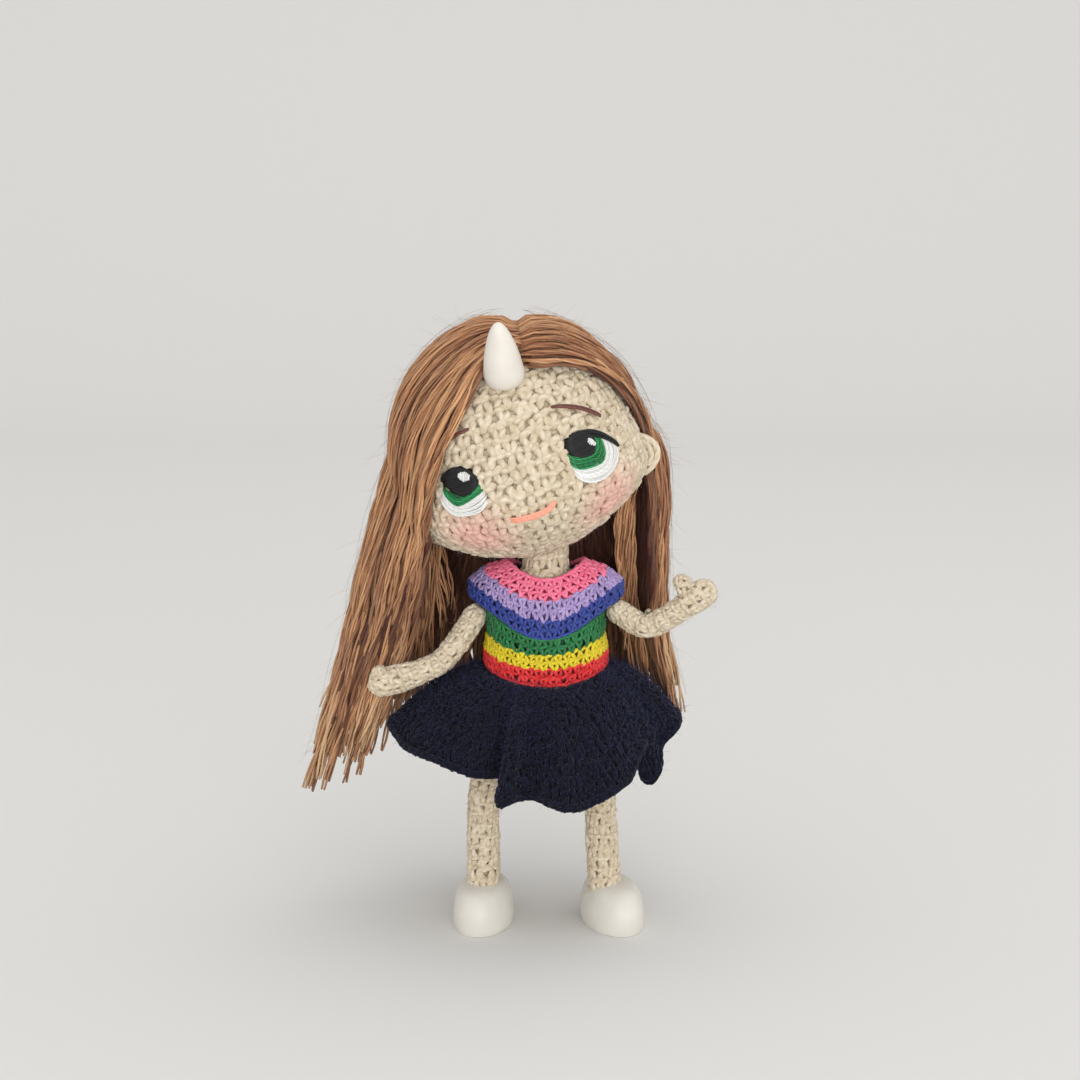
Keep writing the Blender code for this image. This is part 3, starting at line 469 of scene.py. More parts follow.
def knitted(surface, rows, style):
    # rows of stitches, given as (low v, high v, count, shift). Every strand of a stitch is
    # a smooth line through points of (across, along, lift): shares of the stitch's cell
    # and yarn radii over the surface. Each point wanders a little
    u, width, low, tall = (np.concatenate(column)[:, None] for column in zip(*(
        ((np.arange(count) + 0.5 + shift) / count, np.full(count, 1 / count),
         np.full(count, start), np.full(count, end - start)) for start, end, count, shift in rows)))
    yarn, wander, count = style["yarn"] * mm, style["wander"], len(u)
    steps = np.linspace(0, 1, style["steps"])
    parts = []
    for strand in style["strands"]:
        line = curveThrough(strand, steps)
        own = rng.normal(0, wander, (count, 3, 1))
        phase = rng.random((count, 3, 1)) * 2 * pi
        slow = np.sin(phase + steps * strandLook["driftTurns"]) * wander * strandLook["drift"]
        across, along, lift = (line[:, k] + own[:, k] * strandLook["freedom"][k] + slow[:, k]
                               for k in range(3))
        # painted shade: the lower a point of the strand lies, the darker it is painted
        depth = np.clip(strandLook["surfaceShadeDepth"] + strandLook["shadeDepthRise"] * lift, 0, 1)
        lift = lift + style["base"]
        paths, normal = placesOn(surface, u + width * across, low + tall * along, yarn * lift)
        thick = strandLook["endSize"] + strandLook["swell"] * np.sin(pi * steps)
        size = yarn * thick * (1 + rng.normal(0, wander, (count, 1)))
        parts.append(tubePart(paths, size, normal, style["sides"], style["flat"], rng.random(count),
                              depth, rng.random(count) * strandLook["uvSpread"]))
    return parts


def fibres(roots, normals, look):
    # loose hairs of the yarn: root + length * (t * normal + curl * t * t * side)
    count = len(roots)
    t = np.linspace(0, 1, 3)[None, :, None]
    side = unit(rng.normal(0, 1, (count, 3)))
    length = look["length"] * mm * (fibreLook["shortest"] + rng.random((count, 1, 1)))
    curl = look["curl"] * t * t * unit(rng.normal(0, 1, (count, 3)))[:, None]
    paths = roots[:, None] + length * (t * unit(normals + fibreLook["lean"] * side)[:, None] + curl)
    size = look["thick"] * mm * (1 - fibreLook["taper"] * t[..., 0]) * np.ones((count, 1))
    return tubePart(paths, size, side[:, None] + 0 * paths, 4, 1.0, fibreLook["tint"])


def fibresOn(surface, count, look, low=0.0, high=1.0):
    # fibres at random places of a surface, between two of its heights
    u, v = rng.random((count, 1)), low + (high - low) * rng.random((count, 1))
    points, normals = placesOn(surface, u, v, np.zeros((count, 1)))
    return fibres(points[:, 0], normals[:, 0], look)


# the head

# a single crochet: two legs, and over them the two strands of its top loop
crochet = {
    "yarn": 0.95, "steps": 6, "sides": 6, "flat": 0.75, "wander": 0.07, "base": -0.35,
    "strands": (((-0.02, -0.12, -0.8), (-0.10, 0.10, 0.25), (-0.20, 0.36, 0.45), (-0.27, 0.58, 0.15),
                 (-0.24, 0.80, -0.8)),
                ((0.06, -0.06, -0.8), (0.14, 0.14, 0.15), (0.22, 0.38, 0.35), (0.28, 0.60, 0.05),
                 (0.24, 0.82, -0.8)),
                ((-0.50, 0.60, -0.8), (-0.38, 0.76, 0.15), (-0.20, 0.90, 0.45), (-0.02, 0.96, 0.15),
                 (0.12, 0.92, -0.8)),
                ((0.00, 0.66, -0.8), (0.14, 0.80, 0.10), (0.30, 0.93, 0.35), (0.46, 0.94, 0.05),
                 (0.60, 0.86, -0.8))),
}
headLook = {
    "radius": 25.0, "roll": 15.4, "widthShare": 1.02, "cheek": 0.20, "cheekLevel": -0.56,
    "cheekSpread": 0.36, "rows": 25, "stitch": 3.9, "noseLift": 1.3, "nosePlace": (0.3, 21.6),
    "noseSpread": (3.0, 2.0),
    "core": {"columns": 48, "rows": 36, "lift": -0.6, "low": 0.01, "high": 0.99, "depth": 0.55},
    "fuzz": {"length": 1.0, "curl": 0.7, "thick": 0.024}, "fuzzCount": 5000, "fuzzBand": (0.05, 0.8),
    # the cheeks' blushes in the head's own axes, and how far they reach
    "blush": (((17.0, -16.5, 9.6), 12.0), ((-12.0, -21.5, 9.6), 13.0)), "blushColour": sRgb(240, 172, 166),
}
headRadius = headLook["radius"] * mm
headCentre = np.array([0, 0, headRadius])  # in the head's own axes, which start at the chin
roll = radians(headLook["roll"])


def headWidth(height):
    # radius of the head at a height over its centre: a ball's, with fuller cheeks
    share = height / headRadius
    cheeks = headLook["cheek"] * np.exp(-((share - headLook["cheekLevel"]) / headLook["cheekSpread"]) ** 2)
    return headRadius * np.sqrt(np.maximum(1 - share ** 2, 0)) * (headLook["widthShare"] + cheeks)


def headPlace(local):
    # from the head's own axes to the doll's: turned by the roll about the chin
    x, y, z = np.moveaxis(np.asarray(local, float), -1, 0)
    return neckPivot + np.stack([x * cos(roll) - z * sin(roll), y, x * sin(roll) + z * cos(roll)], -1)


def headLocal(places):
    # the way back, from the doll's axes to the head's own
    x, y, z = np.moveaxis(places - neckPivot, -1, 0)
    return np.stack([x * cos(roll) + z * sin(roll), y, z * cos(roll) - x * sin(roll)], -1)


def headWay(directions):
    # directions in the head's own axes, turned to the doll's
    return headPlace(directions) - neckPivot


def headSurface(u, v):
    # u goes round from the face to the doll's left, v from the chin to the crown;
    # a low bump lifts the nose
    height = -headRadius * np.cos(pi * np.clip(v, 0.002, 0.998))
    width = headWidth(height)
    x, z = width * np.sin(2 * pi * u), headRadius + height
    noseX, noseZ = headLook["nosePlace"]
    spreadX, spreadZ = headLook["noseSpread"]
    nose = np.exp(-((x / mm - noseX) / spreadX) ** 2 - ((z / mm - noseZ) / spreadZ) ** 2)
    forward = -width * np.cos(2 * pi * u)
    forward = forward - np.where(forward < 0, headLook["noseLift"] * mm * nose, 0)
    return headPlace(np.stack([x, forward, z], -1))


def facePlaces(x, z, lift):
    # places over the face from the offset from its middle and the height over the chin
    height = z - headRadius
    width = headWidth(height)
    local = np.stack([x, -np.sqrt(np.maximum(width ** 2 - x ** 2, 0)), height], -1)
    length = np.linalg.norm(local, axis=-1, keepdims=True)
    local = local * (1 + np.asarray(lift)[..., None] / length)
    return headPlace(local + headCentre), unit(headWay(local))


def roundedRows(count, widthAt, stitch, least=6, shift=0.5):
    # rows of equal height with as many stitches as their width holds
    edges = np.linspace(0, 1, count + 1)
    middles = (edges[1:] + edges[:-1]) / 2
    counts = np.maximum(np.round(2 * pi * widthAt(middles) / (stitch * mm)).astype(int), least)
    return [(low, high, number, shift * row % 1) for row, (low, high, number)
            in enumerate(zip(edges[:-1], edges[1:], counts))]


def buildHead():
    # the crocheted head: a core darkened with painted shade, rows of stitches round it and the fuzz of their
    # yarn
    blush = [(tuple(headPlace(np.array(centre) * mm)), size * mm) for centre, size in headLook["blush"]]
    material = yarnMaterial("skinYarnHead",
                            {**skinYarn, "blush": blush, "blushColour": headLook["blushColour"]})
    rows = roundedRows(headLook["rows"], lambda v: headWidth(-headRadius * np.cos(pi * v)),
                       headLook["stitch"])
    parts = [shellPart(headSurface, **headLook["core"])]
    parts += knitted(headSurface, rows[:-1], crochet)
    head = addPiece("headCover", parts, material, "head", ("head_cover", "nose"))
    fuzz = fibresOn(headSurface, headLook["fuzzCount"], headLook["fuzz"], *headLook["fuzzBand"])
    addPiece("headFuzz", [fuzz], material, "head", ())
    return material


# the embroidered eyes, brows and mouth

faceLook = {  # lines of (x, height over the chin), and how many threads lie between two of them
    "pupil_left": ((10.3, 23.9), (10.8, 25.2), (12.2, 26.1), (14.2, 26.3), (16.2, 25.6), (17.1, 24.2),
                   (16.8, 22.4), (15.4, 21.2), (13.2, 21.1), (11.2, 21.9)),
    "pupil_right": ((-16.4, 23.0), (-15.4, 24.6), (-13.5, 25.5), (-11.1, 25.5), (-9.2, 24.6), (-8.2, 23.2),
                    (-8.4, 21.7), (-10.0, 20.5), (-12.3, 20.1), (-14.9, 21.1)),
    "iris_left": (((10.3, 22.9), (11.8, 21.8), (13.4, 21.5), (15.2, 21.5), (16.4, 22.3), (16.7, 23.6),
                   (16.4, 25.0)),
                  ((10.5, 20.9), (11.9, 18.8), (13.7, 18.5), (15.6, 18.3), (17.4, 18.6), (18.1, 20.6),
                   (17.9, 24.2)), 7),
    "iris_right": (((-16.2, 23.2), (-15.3, 21.8), (-13.7, 20.6), (-11.9, 20.5), (-9.9, 21.3), (-8.3, 22.4)),
                   ((-16.5, 21.8), (-15.4, 19.7), (-14.0, 18.2), (-12.0, 18.6), (-9.8, 19.4), (-7.7, 20.3)),
                   6),
    "eye_white_left": (((10.8, 20.4), (12.0, 19.0), (14.4, 18.6), (16.9, 18.8), (18.0, 20.3), (18.2, 22.2),
                        (18.1, 24.2)),
                       ((10.9, 18.4), (12.4, 16.4), (14.6, 15.4), (17.3, 15.6), (19.8, 17.4), (20.8, 19.4),
                        (20.7, 21.8)), 8),
    "eye_white_right": (((-16.8, 22.0), (-15.5, 19.8), (-14.1, 18.3), (-12.0, 18.5), (-9.7, 19.4),
                         (-7.8, 20.3)),
                        ((-17.7, 20.7), (-16.6, 18.0), (-15.0, 16.3), (-11.9, 15.8), (-9.6, 16.1),
                         (-7.8, 17.4)), 7),
    "lash_left": (((12.2, 26.5), (15.4, 26.3), (17.6, 25.3), (19.4, 23.6), (20.9, 21.6), (21.5, 20.0)),
                  ((12.4, 25.6), (15.0, 25.0), (17.0, 24.1), (18.8, 22.8), (20.4, 21.2), (21.4, 19.9)), 3),
    "lash_right": (((-16.3, 23.4), (-15.6, 24.6), (-14.6, 25.4), (-13.2, 25.9), (-11.4, 26.0)),
                   ((-15.7, 23.2), (-15.1, 24.0), (-14.3, 24.6), (-13.0, 25.2), (-11.4, 25.5)), 3),
    "brow_left": (((9.6, 33.0), (12.9, 32.2), (15.9, 30.8), (18.3, 29.0), (19.9, 27.3)),
                  ((9.9, 32.6), (12.8, 31.4), (15.6, 30.0), (17.9, 28.2), (19.6, 27.0)), 2),
    "brow_right": (((-16.2, 28.8), (-13.2, 31.3), (-10.2, 32.5), (-7.0, 33.1)),
                   ((-16.0, 28.4), (-13.0, 30.9), (-10.1, 32.1), (-7.1, 32.8)), 2),
    "glint_left": ((14.7, 23.9), (15.0, 24.5), (15.7, 24.3), (16.3, 23.1), (16.0, 22.6), (15.3, 22.9)),
    "glint_right": ((-12.1, 24.2), (-11.3, 25.0), (-10.2, 24.7), (-9.7, 23.6), (-10.5, 22.7), (-11.6, 23.0)),
    "mouth": (((-4.7, 13.1), (-1.8, 13.0), (0.8, 13.0), (3.4, 13.3), (4.8, 14.0), (5.9, 14.5)),
              ((-4.5, 12.2), (-1.8, 11.9), (0.9, 11.9), (3.4, 12.3), (5.0, 13.1), (6.0, 13.9)), 3),
}
threadLook = {  # thread, its thickness, how far it stands over the stitches
    "pupil": ("black_thread", 0.30, 1.15), "iris": ("green_thread", 0.26, 0.95),
    "eye": ("white_thread", 0.26, 0.90), "lash": ("black_thread", 0.28, 1.10),
    "brow": ("brown_thread", 0.30, 0.95), "glint": ("white_thread", 0.22, 1.50),
    "mouth": ("coral_thread", 0.34, 0.80),
}
satinLook = {"spacing": 0.34, "slant": {"pupil": 8.0, "glint": 70.0}}
# how unevenly threads are laid, and how they dip and thin where they go through the cloth
laidLook = {"stray": 0.05, "uneven": 0.06, "dip": 0.9, "sink": 0.25, "thin": 0.25, "flat": 0.85,
            "uvSpread": 9}


def laidThreads(inner, outer, count):
    # threads side by side from one line to the other
    t = np.linspace(0, 1, 16)
    first, last = curveThrough(inner, t), curveThrough(outer, t)
    share = ((np.arange(count) + 0.5) / count)[:, None, None]
    return first * (1 - share) + last * share + rng.normal(0, laidLook["stray"], (count, 1, 2))


def satinThreads(outline, spacing, slant):
    # parallel threads across a closed outline: each runs between the outline's crossings
    points = curveThrough([*outline, outline[0]], np.linspace(0, 1, 80))
    turn = np.array([[cos(slant), sin(slant)], [-sin(slant), cos(slant)]])
    points = points @ turn.T
    levels = np.arange(points[:, 1].min() + spacing / 2, points[:, 1].max(), spacing)
    start, end = points[:-1], points[1:]
    share = (levels[:, None] - start[:, 1]) / (end[:, 1] - start[:, 1] + 1e-9)
    place = start[:, 0] + share * (end[:, 0] - start[:, 0])
    crosses = (share >= 0) & (share <= 1)
    left = np.where(crosses, place, np.inf).min(axis=1)
    right = np.where(crosses, place, -np.inf).max(axis=1)
    t = np.linspace(0, 1, 10)[None]
    x = left[:, None] * (1 - t) + right[:, None] * t
    return np.stack([x, levels[:, None] * np.ones_like(t)], -1) @ turn


def buildFace():
    # each thread stands over the stitches and dips at both ends: lift less a high power
    # of the distance from its middle
    materials = {name: yarnMaterial(name, threeColours(silk, colours))
                 for name, colours in silkColours.items()}
    for name, outline in faceLook.items():
        kind = name.split("_")[0]
        thread, thick, lift = threadLook[kind]
        if kind in satinLook["slant"]:
            lines = satinThreads(outline, satinLook["spacing"], radians(satinLook["slant"][kind]))
        else:
            lines = laidThreads(*outline)
        count = len(lines)
        outer = np.abs(2 * np.linspace(0, 1, lines.shape[1])[None] - 1)
        rise = lift * (1 - laidLook["dip"] * outer ** 8) - laidLook["sink"] * outer ** 14
        rise = rise + rng.normal(0, laidLook["uneven"], (count, 1))
        places, normal = facePlaces(lines[..., 0] * mm, lines[..., 1] * mm, rise * mm)
        size = thick * mm * (1 - laidLook["thin"] * outer ** 6) * np.ones((count, 1))
        part = tubePart(places, size, normal, 6, laidLook["flat"], rng.random(count), 1.0,
                        rng.random(count) * laidLook["uvSpread"])
        addPiece(name + "Threads", [part], materials[thread], "head", (name,))


# the ears

earLook = {
    "level": -0.39, "tall": 8.6, "wide": 5.0, "deep": 3.6, "yarn": 0.72, "off": 0.6,
    "core": {"columns": 24, "rows": 14, "lift": -0.45, "low": 0.02, "high": 0.98, "depth": 0.3},
    # arcs of yarn: size, how far in front as a share of the half depth, first and last half turn
    "arcs": ((1.0, 0.35, -0.52, 0.5), (0.45, 0.56, -0.36, 0.4)),
    "arcWide": 1.15, "arcIn": 0.7, "arcCurl": 1.5, "arcSteps": 14, "arcSides": 8,
}


def buildEars(material):
    # a small stuffed cup with two arcs of yarn, the outer one its rim
    level = earLook["level"] * headRadius
    halfWide, halfTall, halfDeep = (earLook[key] / 2 for key in ("wide", "tall", "deep"))
    for side, sign in sideSigns.items():
        centre = np.array([sign * (float(headWidth(level)) + earLook["off"] * mm), 0, headRadius + level])

        def earSurface(u, v):
            # a ball of three half sizes round the ear's centre
            turn, rise = 2 * pi * u, pi * np.clip(v, 0.01, 0.99)
            ball = [np.sin(rise) * np.sin(turn) * halfWide, -np.sin(rise) * np.cos(turn) * halfDeep,
                    -np.cos(rise) * halfTall]
            return headPlace(centre + np.stack(ball, -1) * mm)

        # the cup's core is darkened with painted shade
        parts = [shellPart(earSurface, **earLook["core"])]
        t = np.linspace(0, 1, earLook["arcSteps"])[None]
        for size, front, start, end in earLook["arcs"]:
            angle = pi * (start + (end - start) * t)
            z = np.sin(angle) * halfTall * (0.5 + 0.5 * size)
            x = sign * np.cos(angle) * halfWide * size * earLook["arcWide"]
            x = x - sign * (earLook["arcIn"] + earLook["arcCurl"] * (z / halfTall) ** 2)
            path = headPlace(centre + np.stack([x, np.full(t.shape, -halfDeep * front), z], -1) * mm)
            outward = np.broadcast_to(headWay(np.array([0, -1, 0])), path.shape)
            parts.append(tubePart(path, earLook["yarn"] * mm, outward, earLook["arcSides"], 1.0,
                                  rng.random(1)))
        ear = addPiece("ear" + side.capitalize(), parts, material, "head", ("ear_" + side,))


# the horn and the shoes, of moulded clay

hornLook = {"clay": (sRgb(221, 214, 204), sRgb(227, 221, 211)), "columns": 40, "rows": 48,
            "length": 14.6, "radius": 4.35, "lean": 25.0, "sideLean": 9.0, "place": (0.072, -0.70, 0.525),
            "shape": ((0.0, 1.0), (0.10, 0.994), (0.23, 0.97), (0.44, 0.875), (0.63, 0.73), (0.78, 0.58),
                      (0.88, 0.45), (0.955, 0.31), (1.0, 0.20), (0.975, 0.12), (0.88, 0.05), (0.70, 0.01),
                      (0.4, 0.0), (0.0, 0.0))}
shoeLook = {"clay": (sRgb(216, 212, 202), sRgb(223, 218, 209)), "columns": 48, "rows": 56,
            "length": 22.0, "width": 13.8, "height": 10.5, "topShift": 0.2,
            "yaw": {"right": -10.0, "left": 18.0},
            "shape": ((0.02, 1.0), (0.26, 0.997), (0.50, 0.98), (0.70, 0.92), (0.84, 0.80), (0.935, 0.62),
                      (0.985, 0.42), (1.0, 0.25), (0.99, 0.11), (0.965, 0.035), (0.93, 0.004), (0.6, 0.0),
                      (0.02, 0.0))}


def turnedSurface(shape, change):
    # a profile of (radius, height) shares carried round an upright axis, then changed
    shape = np.asarray(shape, float)[::-1]

    def surface(u, v):
        radius, height = np.moveaxis(tableAt(shape, np.clip(v, 0, 1)), -1, 0)
        return change(np.stack([radius * np.sin(2 * pi * u), -radius * np.cos(2 * pi * u), height], -1))
    return surface


def turnAbout(axis, degrees):
    # a turn about one axis, as a matrix
    return np.array(Matrix.Rotation(radians(degrees), 3, axis))


hornFoot = unit(np.array(hornLook["place"])) * headRadius + headCentre
hornLean = turnAbout("Y", hornLook["sideLean"]) @ turnAbout("X", hornLook["lean"])


def buildHorn(clay):
    # the profile stretched to the horn's length, leaning out from its foot on the forehead
    size = np.array([hornLook["radius"], hornLook["radius"], hornLook["length"]]) * mm

    def change(local):
        return headPlace((local * size) @ hornLean.T + hornFoot)
    part = mouldedPart(turnedSurface(hornLook["shape"], change), hornLook["columns"], hornLook["rows"])
    addPiece("hornClay", [part], clay, "head", ("horn",))


def buildShoes(clay):
    # the profile stretched to an oval, leaning back a little as it rises, and turned out
    size = np.array([shoeLook["width"] / 2, shoeLook["length"] / 2, shoeLook["height"]]) * mm
    for side in sideSigns:
        low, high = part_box("shoe_" + side)
        turn = turnAbout("Z", shoeLook["yaw"][side])

        def change(local):
            shaped = local * size
            shaped[..., 1] += shaped[..., 2] * shoeLook["topShift"] / shoeLook["height"]
            return shaped @ turn.T
        part = mouldedPart(turnedSurface(shoeLook["shape"], change), shoeLook["columns"], shoeLook["rows"])
        points = part["points"]
        middle = (points.min(0) + points.max(0)) / 2
        part["points"] = points + np.array([(low.x + high.x) / 2 - middle[0],
                                            (low.y + high.y) / 2 - middle[1],
                                            -points[:, 2].min()])
        addPiece("shoe" + side.capitalize(), [part], clay, "shin_" + side + "_body", ("shoe_" + side,))


# the trunk and the striped top

trunkLook = {
    "halfWidth": 12.0, "halfDepth": 10.9, "neckBase": 84.6, "bottom": 50.6,
    # rows from the bottom to the neck; those that the top hides, under the first, have no stitches
    "rows": 12, "firstRow": 8, "around": 10, "collarRow": (1.0, 1.08, 9, 0.0), "yarn": 0.78,
    "core": {"columns": 36, "rows": 40, "lift": -0.9, "low": 0.0, "high": 1.1, "depth": 0.4},
    # height, half width and half depth
    "shares": ((0.000, 0.450, 0.450), (0.030, 0.860, 0.840), (0.100, 0.975, 0.965), (0.218, 1.000, 1.000),
               (0.500, 0.950, 0.950), (0.703, 0.900, 0.862), (0.840, 0.850, 0.680), (0.894, 0.750, 0.570),
               (0.929, 0.600, 0.505), (0.965, 0.467, 0.459), (1.000, 0.410, 0.440), (1.10, 0.400, 0.430),
               (1.20, 0.395, 0.420)),
}
topLook = {
    "halfWidth": 13.8, "halfDepth": 12.5, "flare": 4.0, "neck": 86.0, "hem": 60.0, "stitch": 2.15,
    # height at the sides and in front, half width, half depth and sleeve flare, as shares
    "edges": {"neckline": (1.000, 0.875, 0.620, 0.560, 0.0), "pinkEnd": (0.931, 0.719, 1.000, 0.840, 0.0),
              "lavenderEnd": (0.827, 0.554, 0.955, 0.944, 1.0), "blueEnd": (0.708, 0.408, 0.955, 0.984, 1.0),
              "greenStart": (0.627, 0.398, 0.950, 0.976, 0.0), "greenEnd": (0.369, 0.262, 0.945, 0.984, 0.0),
              "yellowEnd": (0.227, 0.142, 1.000, 1.000, 0.0), "hemEnd": (0.092, 0.000, 0.985, 0.990, 0.0)},
    # upper edge, lower edge, rows, and stitches as a share of those at the widest
    "bands": {"pink": ("neckline", "pinkEnd", 3, 0.8), "lavender": ("pinkEnd", "lavenderEnd", 2, 1.1),
              "blue": ("lavenderEnd", "blueEnd", 2, 1.1), "green": ("greenStart", "greenEnd", 2, 1.0),
              "yellow": ("greenEnd", "yellowEnd", 2, 1.0), "red": ("yellowEnd", "hemEnd", 2, 1.0)},
    "yarn": {
        "yarn": 0.43, "steps": 6, "sides": 6, "flat": 0.85, "wander": 0.08, "base": -0.12,
        "strands": (((0.02, -0.20, -0.8), (-0.08, 0.12, 0.5), (-0.21, 0.42, 0.9), (-0.33, 0.72, 0.7),
                     (-0.40, 1.0, -0.5)),
                    ((0.12, -0.16, -0.8), (0.18, 0.14, 0.4), (0.27, 0.44, 0.8), (0.37, 0.74, 0.6),
                     (0.46, 1.0, -0.5)),
                    ((-0.40, 0.86, -0.5), (-0.18, 0.82, 0.4), (0.06, 0.90, 0.6), (0.34, 1.0, 0.4),
                     (0.56, 1.06, -0.5)),
                    ((-0.20, 0.10, -0.7), (0.05, 0.02, 0.1), (0.30, -0.02, 0.2), (0.55, 0.06, 0.0),
                     (0.75, 0.14, -0.7))),
    },
    "edgeYarn": 0.34, "fuzz": {"length": 0.7, "curl": 0.7, "thick": 0.02}, "fuzzCount": 160,
    # ropes along edges: level and lift. The green ones run under the armholes
    "ropes": {"pink": ((1.02, 0.4), (0.97, 1.2)), "green": ((1.02, 0.4), (0.97, 1.2)),
              "blue": ((0.0, 0.5),), "red": ((0.0, 0.5),)},
    # the walls under the bands' stitches and the two cloths: their low depth paints them nearly all in dark
    # painted shade
    "wall": {"columns": 48, "rows": 5, "inside": -1.0, "outside": -0.45, "depth": 0.1},
    "cloth": {"columns": 64, "rows": 14, "inside": -1.3, "outside": -1.02, "depth": 0.1},
}
ropeLook = {"reach": 1.5, "early": 0.25, "arch": 1.1, "sunk": 0.9, "uneven": 0.15, "uvSpread": 9}


def trunkSurface(u, v):
    # ovals stacked along the trunk's outline, v from its bottom to the neck
    height, width, depth = np.moveaxis(tableAt(trunkLook["shares"], v), -1, 0)
    span = trunkLook["neckBase"] - trunkLook["bottom"]
    x = width * trunkLook["halfWidth"] * np.sin(2 * pi * u)
    y = -depth * trunkLook["halfDepth"] * np.cos(2 * pi * u)
    return dollPlace + np.stack([x, y, trunkLook["bottom"] + height * span], -1) * mm


def topEdge(name, u):
    # an edge of the top: an oval that dips in front by a sine squared and, over the arms,
    # flares by a sine to the fourth
    side, front, width, depth, flare = topLook["edges"][name]
    turn = 2 * pi * u
    halfWidth = width * topLook["halfWidth"] + flare * topLook["flare"] * np.sin(turn) ** 4
    share = front + (side - front) * np.sin(turn) ** 2
    height = topLook["hem"] + share * (topLook["neck"] - topLook["hem"])
    return dollPlace + np.stack([halfWidth * np.sin(turn),
                                 -depth * topLook["halfDepth"] * np.cos(turn), height], -1) * mm


def bandSurface(high, low):
    # straight lines from a band's lower edge, v = 0, to its upper one
    def surface(u, v):
        share = np.asarray(v)[..., None]
        return topEdge(low, u) * (1 - share) + topEdge(high, u) * share
    return surface


def wallPart(surface, columns, rows, inside, outside, depth):
    # a cloth wall that goes round: up its outer face and down its inner one
    u, v = roundGrid(columns, rows, 0.0, 1.0)
    outer, _ = placesOn(surface, u, v, np.full(u.shape, outside * mm))
    inner, _ = placesOn(surface, u, v[::-1], np.full(u.shape, inside * mm))
    rings = np.concatenate([outer, inner, outer[:1]])
    part = ringPart(rings[None], depth=depth)
    fans = 2 * (columns // 2 - 1)  # the wall closes on itself, so its ends need no fans
    part["faces"], part["uv"] = part["faces"][:-fans], part["uv"][:-fans]
    last = len(rings) * columns - columns
    part["faces"] = np.where(part["faces"] >= last, part["faces"] - last, part["faces"])
    for key in ("points", "tint", "depth"):
        part[key] = part[key][:last]
    return part


def buildTrunk(material):
    # a core darkened with painted shade, with stitches over it
    count = trunkLook["rows"]
    rows = [(k / count, (k + 1) / count, trunkLook["around"], 0.5 * k % 1)
            for k in range(trunkLook["firstRow"], count)]
    parts = [shellPart(trunkSurface, **trunkLook["core"])]
    parts += knitted(trunkSurface, [*rows, trunkLook["collarRow"]], {**crochet, "yarn": trunkLook["yarn"]})
    trunk = addPiece("torsoCover", parts, material, "trunk", ("torso_cover",))


def edgeRope(surface, level, yarn, around, lift, wander=0.0, depth=0.85):
    # slip stitches along an edge: short arches, a sine high, that overlap end to end
    t = np.linspace(0, 1, 6)[None]
    u = (np.arange(around)[:, None] + t * ropeLook["reach"] - ropeLook["early"]) / around
    rise = mm * yarn * (ropeLook["arch"] * np.sin(pi * t) - ropeLook["sunk"] + lift) * np.ones(u.shape)
    side = level + wander * (t - 0.5) * np.ones(u.shape)
    paths, normal = placesOn(surface, u, side, rise)
    size = yarn * mm * rng.uniform(1 - ropeLook["uneven"], 1 + ropeLook["uneven"], (around, 1))
    return tubePart(paths, size, normal, 6, 1.0, rng.random(around), depth,
                    rng.random(around) * ropeLook["uvSpread"])


def topCloth(name, high, low, slot):
    # the thin knitted ground that the bands' stitches stand on, painted nearly all in dark shade
    colour = cottonColours[slot.split("_")[0]]
    cloth = addPiece(name, [wallPart(bandSurface(high, low), **topLook["cloth"])],
                     yarnMaterial(name, threeColours(cotton, colour)), "trunk")


def buildTop():
    # bands of stitches, each a piece of its own, over two thin cloths
    widest = 2 * pi * topLook["halfWidth"] / topLook["stitch"]
    for colour, (high, low, rows, share) in topLook["bands"].items():
        surface, around = bandSurface(high, low), int(widest * share)
        material = yarnMaterial(colour + "Cotton", threeColours(cotton, cottonColours[colour]))
        cells = [(k / rows, (k + 1) / rows, around, 0.5 * k + 0.25) for k in range(rows)]
        parts = [wallPart(surface, **topLook["wall"])]
        parts += knitted(surface, cells, topLook["yarn"])
        parts.append(fibresOn(surface, topLook["fuzzCount"], topLook["fuzz"]))
        for level, lift in topLook["ropes"].get(colour, ()):
            parts.append(edgeRope(surface, level, topLook["edgeYarn"], around, lift))
        addPiece("top" + colour.capitalize(), parts, material, "trunk",
                                ("top_band_" + colour,))
    topCloth("topYoke", "neckline", "blueEnd", "lavender_cotton")
    topCloth("topBody", "greenStart", "hemEnd", "yellow_cotton")


# the skirt

